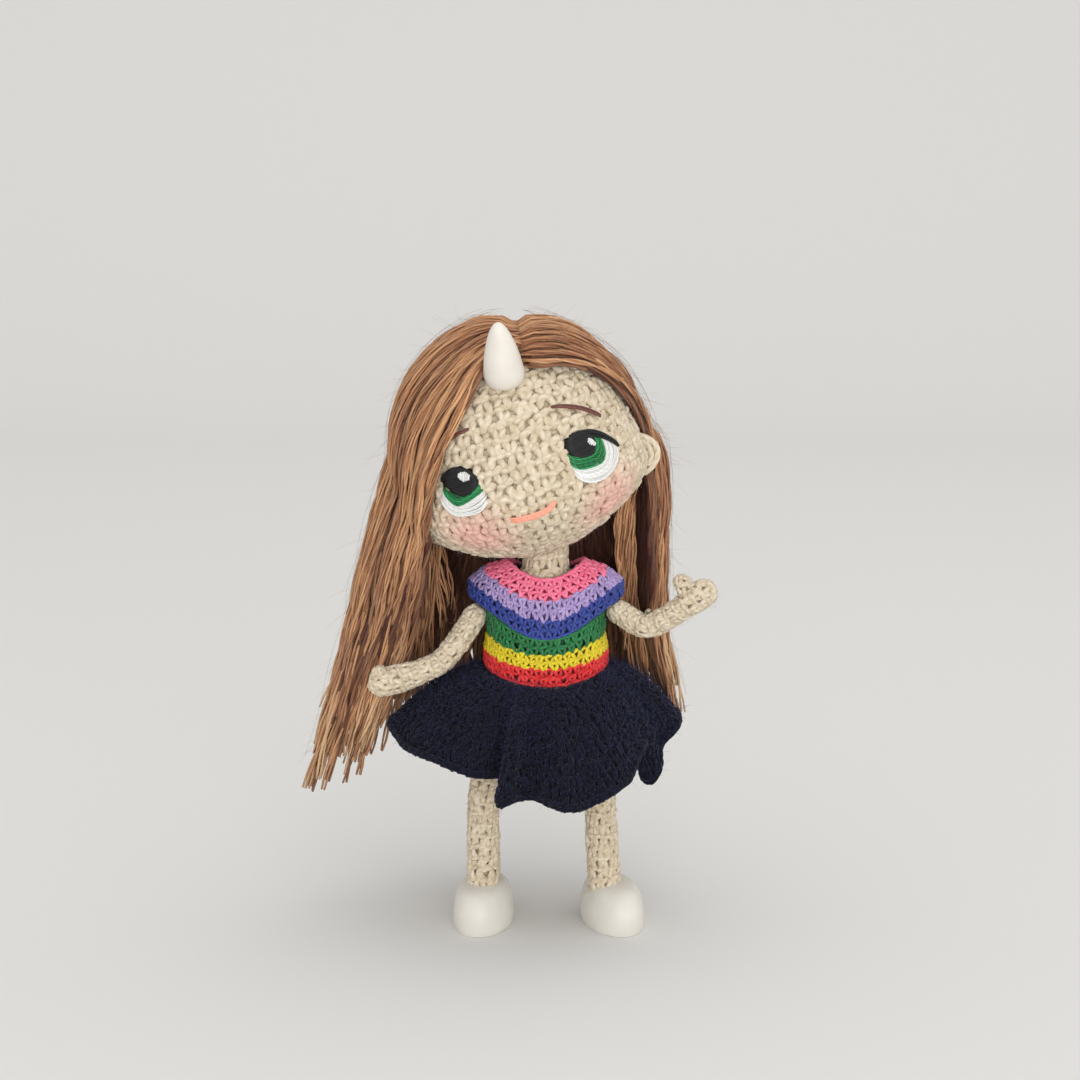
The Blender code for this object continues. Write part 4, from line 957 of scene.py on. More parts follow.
skirtLook = {
    "waistWidth": 13.3, "waistDepth": 12.2, "waist": 59.4, "waistLift": 2.4, "rows": 15, "stitch": 2.1,
    # the hem, round from the front by the doll's left: x, y, height, and the turn in
    # degrees of the place on the waist that it hangs from
    "hem": ((0.9, -26.5, 36.9, 0), (3.6, -29.0, 36.8, 6), (6.7, -29.0, 36.8, 11), (9.5, -27.0, 37.2, 17),
            (13.0, -26.0, 38.7, 23), (16.5, -23.5, 40.2, 30), (18.6, -20.5, 41.1, 36),
            (19.8, -17.5, 43.1, 43), (21.1, -14.5, 45.2, 49), (22.1, -12.0, 46.3, 54),
            (21.4, -9.0, 43.4, 58), (21.2, -9.0, 39.9, 60), (22.5, -11.0, 37.2, 63),
            (24.7, -10.5, 38.2, 66), (25.9, -8.5, 40.6, 69), (26.1, -5.5, 43.7, 74),
            (27.8, -4.0, 45.6, 80), (29.9, -2.5, 47.4, 87), (30.8, 0.5, 48.6, 96), (30.5, 7.0, 49.0, 107),
            (29.5, 14.0, 45.1, 121), (22.6, 19.0, 43.0, 135), (16.5, 23.4, 41.0, 150),
            (8.8, 26.5, 40.0, 165), (0.0, 26.8, 39.5, 180), (-8.8, 26.5, 40.0, 195),
            (-16.5, 23.4, 41.0, 210), (-22.6, 19.0, 43.0, 225), (-29.5, 14.3, 45.5, 240),
            (-32.5, 7.0, 48.1, 255), (-35.8, -1.0, 48.6, 269), (-33.5, -7.0, 46.5, 284),
            (-30.7, -12.0, 45.2, 298), (-24.4, -18.0, 44.4, 310), (-17.5, -21.0, 42.4, 320),
            (-13.1, -20.0, 41.4, 328), (-10.3, -17.5, 40.6, 334), (-9.5, -18.5, 39.5, 337),
            (-10.5, -22.5, 38.1, 340), (-10.4, -25.5, 36.5, 343), (-8.0, -26.5, 37.5, 346),
            (-5.5, -22.5, 37.2, 351), (-2.2, -23.0, 37.3, 356)),
    "yarn": {
        "yarn": 0.50, "steps": 5, "sides": 6, "flat": 0.6, "wander": 0.11, "base": -0.35,
        "strands": (((-0.04, -0.14, -0.8), (-0.18, 0.30, 0.4), (-0.28, 0.70, 0.35), (-0.2, 1.08, -0.8)),
                    ((0.08, -0.14, -0.8), (0.16, 0.30, 0.35), (0.27, 0.72, 0.3), (0.2, 1.08, -0.8))),
    },
    # the ropes along the hem: level and lift, and how deep their painted shade is
    "edgeYarn": 0.48, "ropes": ((0.0, 0.1), (0.022, 0.5)), "ropeWander": 0.01, "ropeShadeDepth": 0.6,
    "cloth": {"columns": 240, "rows": 26, "inside": -0.9, "outside": -0.4, "depth": 0.35},
    "fuzz": {"length": 1.5, "curl": 1.0, "thick": 0.026}, "fuzzCount": 9000,
    "outward": 0.8, "fall": 1.55, "growth": 0.85,  # powers of the way from the waist to the hem
}
skirtHem = np.array(skirtLook["hem"])
hemWay = np.radians(skirtHem[:, 3])
skirtHem = evenRing(np.column_stack([skirtHem[:, :3], np.sin(hemWay), np.cos(hemWay)]), 144)


def skirtSurface(u, v):
    # v = 0 at the hem, 1 at the waist: from each place on the waist's oval the cloth
    # leaves for its place on the hem, at first outwards, then down
    t = np.clip(1 - np.asarray(v), 0.0, 1.02)
    hem = ringAt(skirtHem, u)
    way = unit(hem[..., 3:])
    waist = np.stack([skirtLook["waistWidth"] * way[..., 0], -skirtLook["waistDepth"] * way[..., 1],
                      skirtLook["waist"] + skirtLook["waistLift"] * way[..., 0] ** 2], -1)
    share = np.stack([t ** skirtLook["outward"], t ** skirtLook["outward"], t ** skirtLook["fall"]], -1)
    return dollPlace + (waist + (hem[..., :3] - waist) * share) * mm


def skirtRound(v):
    # the cloth's length round the doll at one height, in millimetres
    ring = skirtSurface(np.linspace(0, 1, 400), np.full(400, v))
    return np.linalg.norm(np.diff(ring, axis=0), axis=1).sum() / mm


def buildSkirt():
    # cloth, the stitches on it, the edge of its hem, and loose fuzz
    material = yarnMaterial("navyYarn", navyYarn)
    # the cloth under the stitches is partly darkened with painted shade
    cloth = addPiece("skirtCloth", [wallPart(skirtSurface, **skirtLook["cloth"])],
                     material, "trunk", ("skirt",))
    count, waist, hem = skirtLook["rows"], skirtRound(1.0), skirtRound(0.0)
    # as many stitches in a row as fit its length, which grows from the waist to the hem
    cells = []
    for row in range(count):
        length = waist + (hem - waist) * (1 - (row + 0.5) / count) ** skirtLook["growth"]
        cells.append((row / count, (row + 1) / count, int(length / skirtLook["stitch"]), 0.5 * row % 1))
    parts = knitted(skirtSurface, cells, skirtLook["yarn"])
    for level, lift in skirtLook["ropes"]:
        parts.append(edgeRope(skirtSurface, level, skirtLook["edgeYarn"], int(hem / skirtLook["stitch"]),
                              lift, skirtLook["ropeWander"], skirtLook["ropeShadeDepth"]))
    stitches = addPiece("skirtStitches", parts, material, "trunk")
    fuzz = addPiece("skirtFuzz", [fibresOn(skirtSurface, skirtLook["fuzzCount"], skirtLook["fuzz"])],
                    yarnMaterial("navyFuzzSheen", navyFuzzSheen), "trunk")


# the arms and legs

armLook = {
    "length": 32.0, "radius": 2.7, "hand": 3.3, "fingertips": 0.95, "row": 2.4, "stitch": 2.6, "yarn": 0.70,
    "thumb": 2.0, "thumbLength": {"right": 0.2, "left": 2.7}, "thumbRow": 2.2, "thumbStitch": 3.0,
    "thumbYarn": 0.55,
    # the arm's middle from the shoulder, the thumb's root and the way it points, in arm lengths
    "line": {"right": ((0, 0, 0), (-0.244, -0.125, -0.334), (-0.404, -0.162, -0.426),
                       (-0.571, -0.194, -0.476), (-0.690, -0.215, -0.501), (-0.79, -0.233, -0.522)),
             "left": ((0, 0, 0), (0.214, -0.172, -0.101), (0.316, -0.219, -0.080),
                      (0.423, -0.266, -0.009), (0.523, -0.297, 0.075), (0.631, -0.324, 0.156),
                      (0.71, -0.345, 0.215))},
    "thumbLine": {"right": ((-0.706, -0.245, -0.440), (-0.35, -0.20, 0.91)),
                  "left": ((0.520, -0.320, 0.155), (-0.42, -0.10, 0.90))},
}
legLook = {
    "radius": 3.8, "kneeRadius": 3.6, "ankle": 6.0, "ankleSpread": {"right": 14.6, "left": 13.8},
    "row": 2.6, "stitch": 3.0, "yarn": 0.74,
}
limbLook = {
    "base": -0.85, "coreColumns": 20, "coreShadeDepth": 0.4, "rowTurn": 0.12,
    "fuzz": {"length": 0.9, "curl": 0.6, "thick": 0.025}, "fuzzPerCentimetre": 60,
}


def limbSurface(points, radii, roundEnd):
    # a round limb along a smooth line, v along it: its start, and its end if asked, is half a
    # ball, whose radius falls with the root of one less the square of the way left
    shares = np.linspace(0, 1, 240)
    line = curveThrough(points, shares)
    length = np.linalg.norm(np.diff(line, axis=0), axis=1).sum()
    tangent = unit(np.gradient(line, axis=0))
    forward = np.array([0.0, -1.0, 0.0])
    front = unit(forward - tangent * (tangent @ forward)[:, None])
    side = np.cross(tangent, front)
    size = np.interp(shares, np.linspace(0, 1, len(radii)), radii)
    for left in (shares * length, (1 - shares) * length)[:2 if roundEnd else 1]:
        size = size * np.sqrt(np.clip(1 - np.clip(1 - left / size, 0, 1) ** 2, 0, 1))
    size = np.maximum(size, 0.15 * mm)
    table = np.concatenate([line, front, side, size[:, None]], axis=1)

    def surface(u, v):
        v = np.clip(v, 0, 1)
        values = np.stack([np.interp(v, shares, column) for column in table.T], -1)
        turn = 2 * pi * np.asarray(u)[..., None]
        middle, ahead, aside, radius = np.split(values, (3, 6, 9), axis=-1)
        return middle + radius * (np.cos(turn) * ahead + np.sin(turn) * aside)
    return surface, length


def limbParts(points, radii, row, stitch, yarn, roundEnd=True):
    # a core darkened with painted shade and stitches round it, each row turned a little from the last
    surface, length = limbSurface(points, radii, roundEnd)
    count = max(int(round(length / (row * mm))), 2)
    around = max(int(round(2 * pi * float(np.mean(radii)) / (stitch * mm))), 4)
    rows = [(k / count, (k + 1) / count, around, limbLook["rowTurn"] * k % 1) for k in range(count)]
    if roundEnd:
        rows[-1] = (*rows[-1][:2], max(around - 1, 4), rows[-1][3])
    parts = [shellPart(surface, limbLook["coreColumns"], 4 * count + 6, -yarn * 1.5, 0.0, 1.0,
                       limbLook["coreShadeDepth"])]
    parts += knitted(surface, rows, {**crochet, "yarn": yarn, "base": limbLook["base"]})
    parts.append(fibresOn(surface, int(limbLook["fuzzPerCentimetre"] * length / (10 * mm)), limbLook["fuzz"]))
    return parts


def buildArms(material):
    # one limb along each arm's line, and a short one for its thumb
    for side in sideSigns:
        shoulder = joints["shoulder_" + side]
        line = shoulder + np.array(armLook["line"][side]) * armLook["length"] * mm
        radii = np.full(len(line), armLook["radius"]) * mm
        radii[-2:] = armLook["hand"] * mm
        radii[-1] = armLook["hand"] * mm * armLook["fingertips"]
        parts = limbParts(line, radii, armLook["row"], armLook["stitch"], armLook["yarn"])
        root, pointing = (np.array(values) for values in armLook["thumbLine"][side])
        start = shoulder + root * armLook["length"] * mm
        reach = unit(pointing) * (armLook["thumbLength"][side] + armLook["thumb"]) * mm
        thumb = np.array([start - reach * 0.2, start + reach * 0.4, start + reach])
        parts += limbParts(thumb, np.full(3, armLook["thumb"] * mm), armLook["thumbRow"],
                           armLook["thumbStitch"], armLook["thumbYarn"])
        arm = addPiece("arm" + side.capitalize(), parts, material, None,
                       ("upper_arm_" + side, "forearm_" + side, "thumb_" + side))
        elbow, way = joints["elbow_" + side], unit(line[2] - line[0])
        elbow - way * 2.5 * mm
        elbow + way * 2.5 * mm
        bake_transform(arm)


def buildLegs(material):
    # one limb from the hip by the knee to the ankle, which is inside the shoe
    for side, sign in sideSigns.items():
        hip, knee = joints["hip_" + side], joints["knee_" + side]
        ankle = np.array([dollPlace[0] + sign * legLook["ankleSpread"][side] * mm, knee[1],
                          legLook["ankle"] * mm])
        line = np.array([hip, (hip + knee) / 2, knee, (knee + ankle) / 2, ankle])
        radii = np.full(len(line), legLook["radius"]) * mm
        radii[2] = legLook["kneeRadius"] * mm
        parts = limbParts(line, radii, legLook["row"], legLook["stitch"], legLook["yarn"], roundEnd=False)
        leg = addPiece("leg" + side.capitalize(), parts, material, None,
                       ("thigh_" + side, "shin_" + side))
        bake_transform(leg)


# the hair

hairLook = {
    "fall": 60.0, "lift": 2.3, "faceLift": 0.9, "partingSide": 0.27, "steps": 46, "crowding": 1.1,
    # the hair's height over the head along a strand, as shares of the lift
    "crown": ((0.0, 0.45), (0.05, 1.2), (0.1, 1.5), (0.2, 1.25), (0.4, 1.0), (1.0, 1.0)),
    # layers: height over the middle, strands, depth of painted shade, how far they clump,
    # thickness, and how pale their ends are
    "layers": {"Inner": ((-1.3, 110, 0.05, 0.0, 0.5, 0.5), (-0.8, 70, 0.4, 0.6, 0.40, 0.8)),
               "": ((-0.1, 76, 0.42, 0.5, 0.38, 1.1), (1.0, 52, 0.9, 0.85, 0.36, 1.2))}, "clumps": 21,
    "spread": {"right": 1.0, "left": 0.85},  # under 1, the hair is thinner in front
    "tips": (0.95, 0.055, 0.74, 1.04),  # where strands end: mean, spread, least and most
    "loose": 0.35, "plyGap": (0.28, 0.44), "turns": 5.0, "ripple": 0.22, "crimp": 0.42, "rootCrossing": 0.5,
    "frizz": {"length": 5.5, "curl": 0.35, "thick": 0.022}, "frizzCount": 500, "frizzLean": 0.45,
    "frizzFrom": (-0.5, 50),  # the layers with frizz: those higher than this, with more strands
    "flyaways": 40, "flyawayRadius": 0.022, "flyawayDrift": 1.4,
    # locks, front to back: the parting's angle, hairline points in shares of the head's radius,
    # and points of the free fall from the neck joint in shares of the fall
    "right": (
        (33.0, ((-0.106, -0.756, 1.660), (-0.260, -0.838, 1.508), (-0.440, -0.852, 1.340),
                (-0.610, -0.816, 1.116), (-0.712, -0.764, 0.960), (-0.788, -0.728, 0.796)),
         ((-0.455, -0.200, -0.010), (-0.522, -0.010, -0.343), (-0.605, 0.017, -0.543),
          (-0.672, 0.067, -0.727))),
        (22.0, (), ((-0.588, -0.133, -0.010), (-0.663, 0.033, -0.377), (-0.713, 0.083, -0.610),
                    (-0.772, 0.133, -0.860))),
        (5.0, (), ((-0.622, 0.033, 0.207), (-0.705, 0.083, -0.110), (-0.795, 0.133, -0.460),
                   (-0.935, 0.167, -0.918))),
        (-20.0, (), ((-0.522, 0.267, 0.257), (-0.622, 0.333, -0.110), (-0.672, 0.383, -0.460),
                     (-0.755, 0.433, -0.860))),
        (-45.0, (), ((-0.322, 0.417, 0.290), (-0.372, 0.467, -0.110), (-0.405, 0.500, -0.460),
                     (-0.438, 0.550, -0.810))),
        (-70.0, (), ((-0.080, 0.492, 0.290), (-0.040, 0.492, -0.110), (-0.015, 0.517, -0.460),
                     (0.000, 0.558, -0.777))),
    ),
    # locks that stray from the others, and their layer
    "stray": {
        "right": (
            (((33.0, ((-0.090, -0.714, 1.706), (-0.232, -0.839, 1.519), (-0.406, -0.873, 1.317),
                      (-0.573, -0.835, 1.119), (-0.712, -0.765, 0.907), (-0.818, -0.695, 0.743)),
               ((-0.470, -0.210, -0.010), (-0.520, -0.050, -0.300), (-0.575, 0.000, -0.500),
                (-0.630, 0.050, -0.680))),
              (30.0, ((-0.120, -0.714, 1.690), (-0.290, -0.819, 1.500), (-0.470, -0.833, 1.325),
                      (-0.630, -0.790, 1.119), (-0.750, -0.725, 0.920), (-0.828, -0.695, 0.750)),
               ((-0.490, -0.180, -0.010), (-0.540, -0.020, -0.330), (-0.600, 0.017, -0.530),
                (-0.660, 0.060, -0.720)))),
             (0.5, 9, 1.0, 0.1, 0.30, 1.0)),
            (((24.0, (), ((-0.440, 0.000, 0.120), (-0.405, 0.100, -0.080), (-0.380, 0.130, -0.190),
                          (-0.365, 0.140, -0.300))),
              (18.0, (), ((-0.480, 0.020, 0.120), (-0.470, 0.110, -0.120), (-0.470, 0.140, -0.280),
                          (-0.480, 0.150, -0.460))),
              (12.0, (), ((-0.540, 0.020, 0.120), (-0.550, 0.110, -0.200), (-0.580, 0.150, -0.430),
                          (-0.620, 0.170, -0.700)))),
             (-0.6, 26, 0.9, 0.75, 0.36, 0.1)),
        ),
        "left": (
            (((16.0, (), ((0.300, 0.160, 0.150), (0.290, 0.200, -0.100), (0.310, 0.220, -0.300),
                          (0.330, 0.240, -0.470))),
              (10.0, (), ((0.360, 0.160, 0.150), (0.370, 0.200, -0.150), (0.390, 0.220, -0.380),
                          (0.430, 0.240, -0.600)))),
             (-0.6, 16, 0.8, 0.7, 0.36, 0.3)),
        ),
    },
    "left": (
        (44.0, ((0.370, -0.735, 1.612), (0.508, -0.672, 1.564), (0.768, -0.504, 1.432),
                (0.928, -0.348, 1.236), (1.020, -0.120, 1.000), (1.060, 0.090, 0.760)),
         ((0.420, 0.083, 0.190), (0.428, 0.117, -0.077), (0.445, 0.150, -0.377), (0.512, 0.200, -0.643))),
        (28.0, (), ((0.433, 0.150, 0.357), (0.445, 0.200, -0.043), (0.453, 0.233, -0.377),
                    (0.512, 0.267, -0.660))),
        (-10.0, (), ((0.278, 0.350, 0.423), (0.328, 0.400, -0.043), (0.345, 0.433, -0.377),
                     (0.362, 0.483, -0.693))),
        (-40.0, (), ((0.090, 0.467, 0.370), (0.145, 0.480, -0.077), (0.165, 0.500, -0.418),
                     (0.180, 0.540, -0.735))),
        (-70.0, (), ((-0.080, 0.492, 0.290), (-0.040, 0.492, -0.110), (-0.015, 0.517, -0.460),
                     (0.000, 0.558, -0.777))),
    ),
}


def offHead(local, lift):
    # the same places in the head's axes, but never nearer to the head than the lift
    out = local - headCentre
    length = np.linalg.norm(out, axis=-1)
    share = out[..., 2] / np.maximum(length, 1e-9)
    low = headRadius * share
    for _ in range(3):
        low = np.sqrt(headWidth(low) ** 2 + low ** 2) * share
    least = np.sqrt(headWidth(low) ** 2 + low ** 2)
    nearPole = np.hypot(out[..., 0], out[..., 1]) < headRadius / 4
    least = np.where(nearPole, np.maximum(least, headRadius), least) + lift
    return headCentre + out * (np.maximum(length, least) / np.maximum(length, 1e-9))[..., None]


def lockLine(parting, hairline, fall, sign):
    # one lock's middle: from the parting over the head, by its hairline or the shortest arc,
    # then down
    angle = radians(parting)
    start = headCentre + unit(np.array([hairLook["partingSide"], -sin(angle), cos(angle)])) * headRadius
    free = headLocal(neckPivot + np.array(fall) * hairLook["fall"] * mm)
    if hairline:
        over = np.array(hairline) * headRadius
    else:
        first, leave = unit(start - headCentre), unit(free[0] - headCentre)
        angle = np.arccos(np.clip(first @ leave, -1, 1))
        t = np.arange(1, 5)[:, None] / 5
        over = (np.sin((1 - t) * angle) * first + np.sin(t * angle) * leave) / np.sin(angle)
        over = headCentre + headRadius * over
    points = np.concatenate([offHead(np.vstack([start, over]), 0.4 * hairLook["lift"] * mm), free])
    points = points - np.array([sign * hairLook["rootCrossing"] * mm, 0, 0])  # the roots cross in the parting
    return curveThrough(points, np.linspace(0, 1, hairLook["steps"]) ** hairLook["crowding"])


def clearOfHorn(local):
    # pushes places sideways out of the horn's axis, to the horn's radius and a little
    axis = hornLean @ np.array([0, 0, 1.0])
    away = local - hornFoot
    along = away @ axis
    off = away - along[..., None] * axis
    far = np.linalg.norm(off, axis=-1)
    keep = (hornLook["radius"] + 0.7) * mm * np.clip(1.15 - along / (hornLook["length"] * mm), 0.2, 1)
    near = (along > -4 * mm) & (along < hornLook["length"] * mm) & (far < keep)
    moved = hornFoot + along[..., None] * axis + off * (keep / np.maximum(far, 1e-6))[..., None]
    return np.where(near[..., None], moved, local)


def waves(count, size, low, high):
    # three sine waves of random length and phase for each strand, none at its root
    t = np.linspace(0, 1, hairLook["steps"])[None]
    total = sum(np.sin(rng.random((count, 1)) * 2 * pi + 2 * pi * t * rng.uniform(low, high, (count, 1)))
                for _ in range(3))
    return (size * mm * total * np.clip(t * 4, 0.15, 1))[..., None]


def strandPaths(locks, shares, layer, clumping, length, sign):
    # strands between the locks, spread by the room between them, moved through the
    # hair's thickness, drawn into clumps towards their tips and waved a little
    lines = np.array([lockLine(*lock, sign) for lock in locks])
    gaps = np.linalg.norm(np.diff(lines[:, int(hairLook["steps"] * 0.7)], axis=0), axis=1) + 4 * mm
    across = np.interp(shares, np.concatenate([[0], np.cumsum(gaps)]) / gaps.sum(),
                       np.linspace(0, 1, len(locks)))
    count = len(across)
    body = np.tensordot(splineWeights(across * (len(locks) - 1), len(locks)), lines, 1)
    t = np.linspace(0, 1, hairLook["steps"])[None]
    clump = (np.floor(across * hairLook["clumps"]) + 0.5) / hairLook["clumps"]
    clumpLine = np.tensordot(splineWeights(clump * (len(locks) - 1), len(locks)), lines, 1)
    pull = (clumping * np.clip(t - 0.25, 0, 1) ** 1.2)[..., None] * rng.random((count, 1, 1)) ** 0.6
    body = body * (1 - pull) + clumpLine * pull
    place = t * length[:, None] * (hairLook["steps"] - 1)
    low = np.clip(np.floor(place).astype(int), 0, hairLook["steps"] - 2)
    share = (place - low)[..., None]
    row = np.arange(count)[:, None]
    body = body[row, low] * (1 - share) + body[row, low + 1] * share
    down = headLocal(neckPivot + np.array([0.0, 0.0, -1.0])) - headLocal(neckPivot)
    fall = (body - headCentre) @ down
    free = np.clip(fall / headRadius, 0, 1)[..., None]
    out = unit(unit(body - headCentre) * (1 - free) + unit(body - headCentre - fall[..., None] * down) * free)
    side = unit(np.cross(out, np.gradient(body, axis=1)))
    front = np.clip(1 - 2 * across, 0, 1)[:, None] ** 2
    rise = (layer[:, None] * mm * np.clip(0.35 + 2.5 * t, 0, 1))[..., None]
    body = body + out * (rise + waves(count, hairLook["ripple"], 0.7, 5))
    body = body + side * waves(count, hairLook["crimp"], 0.6, 4) * (0.8 + 0.6 * t[..., None])
    crown = np.interp(t, *np.array(hairLook["crown"]).T)
    lift = (hairLook["lift"] * crown - 1.7 + hairLook["faceLift"] * front) * mm
    raised = np.maximum(layer[:, None] + 1.1, 0) * mm * 0.9 * np.minimum(crown, 1.0)
    lift = np.maximum(lift, -0.3 * mm) + raised
    return clearOfHorn(offHead(body, lift)), out, side


def twoPlies(body, out, side):
    # two plies wind round each strand: gap * (cos a * side + sin a * out), a turning
    # with its length and the gap growing towards the loose end
    count = len(body)
    t = np.linspace(0, 1, hairLook["steps"])[None]
    phase = rng.random((count, 1)) * 2 * pi
    angle = phase + 2 * pi * hairLook["turns"] * t * rng.uniform(0.6, 1.4, (count, 1))
    near, far = hairLook["plyGap"]
    gap = (near + (far - near) * t ** 2) * mm
    offset = gap[..., None] * (np.cos(angle)[..., None] * side + np.sin(angle)[..., None] * out)
    return np.concatenate([body + offset, body - offset])


def hairLayers(locks, layers, side):
    # strands of two plies, layer over layer, with loose fibres on the outer ones
    parts, t, sign = [], np.linspace(0, 1, hairLook["steps"])[None], sideSigns[side]
    for layer, count, depth, clumping, ply, pale in layers:
        shares = np.clip((np.arange(count) + rng.uniform(0.1, 0.9, count)) / count, 0, 1)
        shares = shares ** hairLook["spread"][side]
        mean, spread, least, most = hairLook["tips"]
        length = np.clip(rng.normal(mean, spread, count), least, most)
        loose = rng.normal(0, hairLook["loose"], count)
        body, out, aside = strandPaths(locks, shares, layer + loose, clumping, length, sign)
        paths = headPlace(twoPlies(body, out, aside))
        outward = np.tile(headWay(out), (2, 1, 1))
        size = ply * mm * rng.uniform(0.75, 1.25, (2 * count, 1)) * (1 - 0.35 * t ** 16)
        tint = np.tile(rng.random(count), 2) * 0.7 + 0.3 * rng.random(2 * count)
        # strands that lie deeper get more painted shade, and all are paler towards their ends
        tone = np.clip(depth + np.tile(loose, 2)[:, None] * 0.5, 0, 1)
        tone = tone + pale * np.clip(t * 3.4 - 2.4, 0, 1) ** 1.5
        parts.append(tubePart(paths, size, outward, 4, 0.9, tint, tone, rng.random(2 * count) * 50))
        if layer > hairLook["frizzFrom"][0] and count > hairLook["frizzFrom"][1]:
            row = rng.integers(0, 2 * count, hairLook["frizzCount"])
            ring = rng.integers(3, hairLook["steps"] - 1, len(row))
            along = unit(paths[row, ring] - paths[row, ring - 1])
            parts.append(fibres(paths[row, ring], along + hairLook["frizzLean"] * outward[row, ring],
                                hairLook["frizz"]))
    return parts


def flyaways(locks, sign):
    # single hairs that drift off the strands: t squared times a sine of their length
    t = np.linspace(0, 1, hairLook["steps"])[None]
    count = hairLook["flyaways"]
    body, out, _ = strandPaths(locks, rng.random(count), 1.6 + np.abs(rng.normal(0, 0.9, count)), 0.0,
                               rng.uniform(0.3, 1.02, count), sign)
    away = t ** 2 * np.sin(3 * t + rng.random((count, 1)) * 6)
    drift = unit(rng.normal(0, 1, (count, 1, 3))) * hairLook["flyawayDrift"] * mm * away[..., None]
    return tubePart(headPlace(body + drift)[:, 4:], hairLook["flyawayRadius"] * mm, headWay(out)[:, 4:],
                    4, 1.0, rng.random(count))


def buildHair():
    # two curtains on each side
    material = yarnMaterial("hairYarn", hairYarn)
    for side, sign in sideSigns.items():
        for layer, layers in hairLook["layers"].items():
            parts = hairLayers(hairLook[side], layers, side)
            if not layer:  # the outer hair, with its stray locks and single hairs
                for locks, style in hairLook["stray"][side]:
                    parts += hairLayers(locks, [style], side)
                parts.append(flyaways(hairLook[side], sign))
            hair = addPiece("hair" + side.capitalize() + layer, parts, material, None,
                            () if layer else ("hair_" + side,))
            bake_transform(hair)


# inside: stuffing and wires

stuffingLook = {
    "colours": (sRgb(240, 240, 238), sRgb(222, 222, 220), sRgb(200, 200, 198)),
    "columns": 40, "rows": 36, "inset": 2.6, "lumps": 0.25,
    "waves": ((900.0, 400.0, 200.0), (-300.0, 800.0, 500.0), (200.0, -500.0, 1100.0)),
}


def buildInside():
    # stuffing: the form round it drawn in, and made lumpy by three crossing sine waves
    stuffing = yarnMaterial("stuffing", threeColours(skinYarn, stuffingLook["colours"]))
    for name, node, body, surface, low, high in (
            ("headStuffing", "head_stuffing", "head", headSurface, 0.06, 0.97),
            ("torsoStuffing", "torso_stuffing", "trunk", trunkSurface, 0.10, 0.80)):
        u, v = roundGrid(stuffingLook["columns"], stuffingLook["rows"], low, high)
        wave = sum(np.sin(surface(u, v) @ np.array(way)) for way in stuffingLook["waves"])
        lift = wave * stuffingLook["lumps"] * mm / len(stuffingLook["waves"]) - stuffingLook["inset"] * mm
        points, _ = placesOn(surface, u, v, lift)
        item = addPiece(name, [ringPart(points[None])], stuffing, body, (node,))
    steel = wireMaterial()
    for name, node in frame["nodes"].items():
        if "wire" in name:
            node.data.materials.clear()
            node.data.materials.append(steel)
    print("steel on the wires")


# the stage: floor, lamps and camera

stageLook = {  # in metres
    "floor": sRgb(225, 224, 221), "wall": sRgb(231, 229, 226), "roughness": 0.9, "specular": 0.1,
    "width": 6.0, "front": -1.6, "back": 0.9, "curve": 0.7, "rise": 1.6, "sky": 0.84,
}
lampLook = {  # place, aim and size in metres, and power
    "keyLight": ((0.15, -0.8, 0.95), (0.0, 0.0, 0.08), (0.6, 0.6), 0.9),
    "topLight": ((0.25, 0.1, 1.1), (0.0, 0.0, 0.0), (0.9, 0.9), 1.0),
    "fillLight": ((0.15, -0.95, 0.18), (0.0, 0.0, 0.07), (0.9, 0.3), 3.9),
}
# the camera's place and aim from the doll's middle
cameraLook = {"place": (-1.3, -423.5, 165.3), "aim": (-1.3, 0.0, 90.6), "angle": 31.55}


def turnTowards(place, aim):
    # the turn of a lamp or camera at a place that looks at an aim
    return (Vector(aim) - Vector(place)).to_track_quat("-Z", "Y").to_euler()


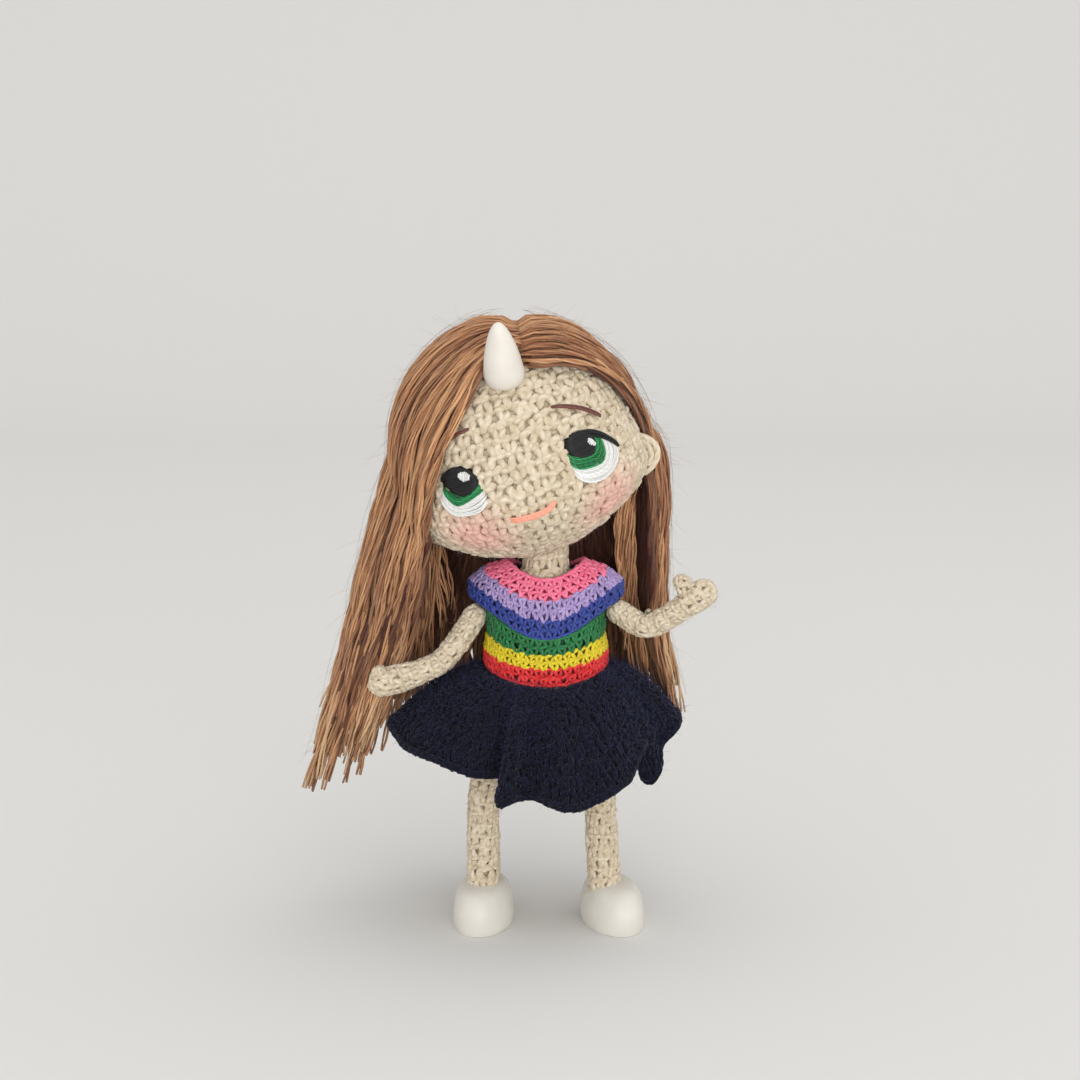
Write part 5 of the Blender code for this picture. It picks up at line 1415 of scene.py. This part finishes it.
def buildFloor():
    # the floor runs back and curves up, by a quarter of a circle, into the backdrop
    turn = np.linspace(0, pi / 2, 24)
    back, radius = stageLook["back"], stageLook["curve"]
    line = np.concatenate([[[stageLook["front"], 0.0]],
                           np.stack([back + radius * np.sin(turn), radius - radius * np.cos(turn)], 1),
                           [[back + radius, stageLook["rise"] + radius]]])
    x = np.array([-stageLook["width"] / 2, stageLook["width"] / 2])
    points = np.array([[(side, y, z) for side in x] for y, z in line]).reshape(-1, 3)
    faces = [(2 * k, 2 * k + 1, 2 * k + 3, 2 * k + 2) for k in range(len(line) - 1)]
    mesh = bpy.data.meshes.new("floor")
    mesh.from_pydata(points.tolist(), [], faces)
    mesh.shade_smooth()
    material, make, shader = newMaterial("paleFloor")
    place = make.node("ShaderNodeTexCoord", output=3)
    cloud = make.node("ShaderNodeTexNoise", inputs={"Vector": place, "Scale": 3.0, "Detail": 2.0})
    depth = make.node("ShaderNodeSeparateXYZ", inputs={0: place}, output=1)
    far = (depth + cloud * 0.2).between(-0.3, 0.9)
    linkTo(shader, "Base Color", far.mix(stageLook["floor"], stageLook["wall"]))
    shader.inputs["Roughness"].default_value = stageLook["roughness"]
    shader.inputs["Specular IOR Level"].default_value = stageLook["specular"]
    mesh.materials.append(material)
    floor = bpy.data.objects.new("floor", mesh)
    bpy.context.scene.collection.objects.link(floor)


def buildStage():
    # floor, sky, lamps, and the camera at the photograph's angle
    buildFloor()
    scene = bpy.context.scene
    world = bpy.data.worlds.new("softLight")
    world.use_nodes = True
    world.node_tree.nodes["Background"].inputs["Color"].default_value = (1.0, 1.0, 1.0, 1.0)
    world.node_tree.nodes["Background"].inputs["Strength"].default_value = stageLook["sky"]
    scene.world = world
    for name, (place, aim, size, power) in lampLook.items():
        light = bpy.data.lights.new(name, "AREA")
        light.shape, light.size, light.size_y = "RECTANGLE", *size
        light.energy = power
        item = bpy.data.objects.new(name, light)
        item.location, item.rotation_euler = place, turnTowards(place, aim)
        scene.collection.objects.link(item)

    camera = bpy.data.cameras.new("camera")
    camera.angle = radians(cameraLook["angle"])
    camera.clip_start, camera.clip_end = 0.01, 20.0
    item = bpy.data.objects.new("camera", camera)
    item.location = Vector(dollPlace) + Vector(cameraLook["place"]) * mm
    item.rotation_euler = turnTowards(cameraLook["place"], cameraLook["aim"])
    scene.collection.objects.link(item)
    scene.camera = item
    scene.view_settings.view_transform = "Standard"
    print("stage ready")


buildStage()
skinHead = buildHead()
buildFace()
buildEars(skinHead)
buildHorn(clayMaterial("hornClay", *hornLook["clay"]))
buildShoes(clayMaterial("shoeClay", *shoeLook["clay"]))
skin = yarnMaterial("skinYarn", skinYarn)
buildTrunk(skin)
buildTop()
buildSkirt()
buildArms(skin)
buildLegs(skin)
buildHair()
buildInside()
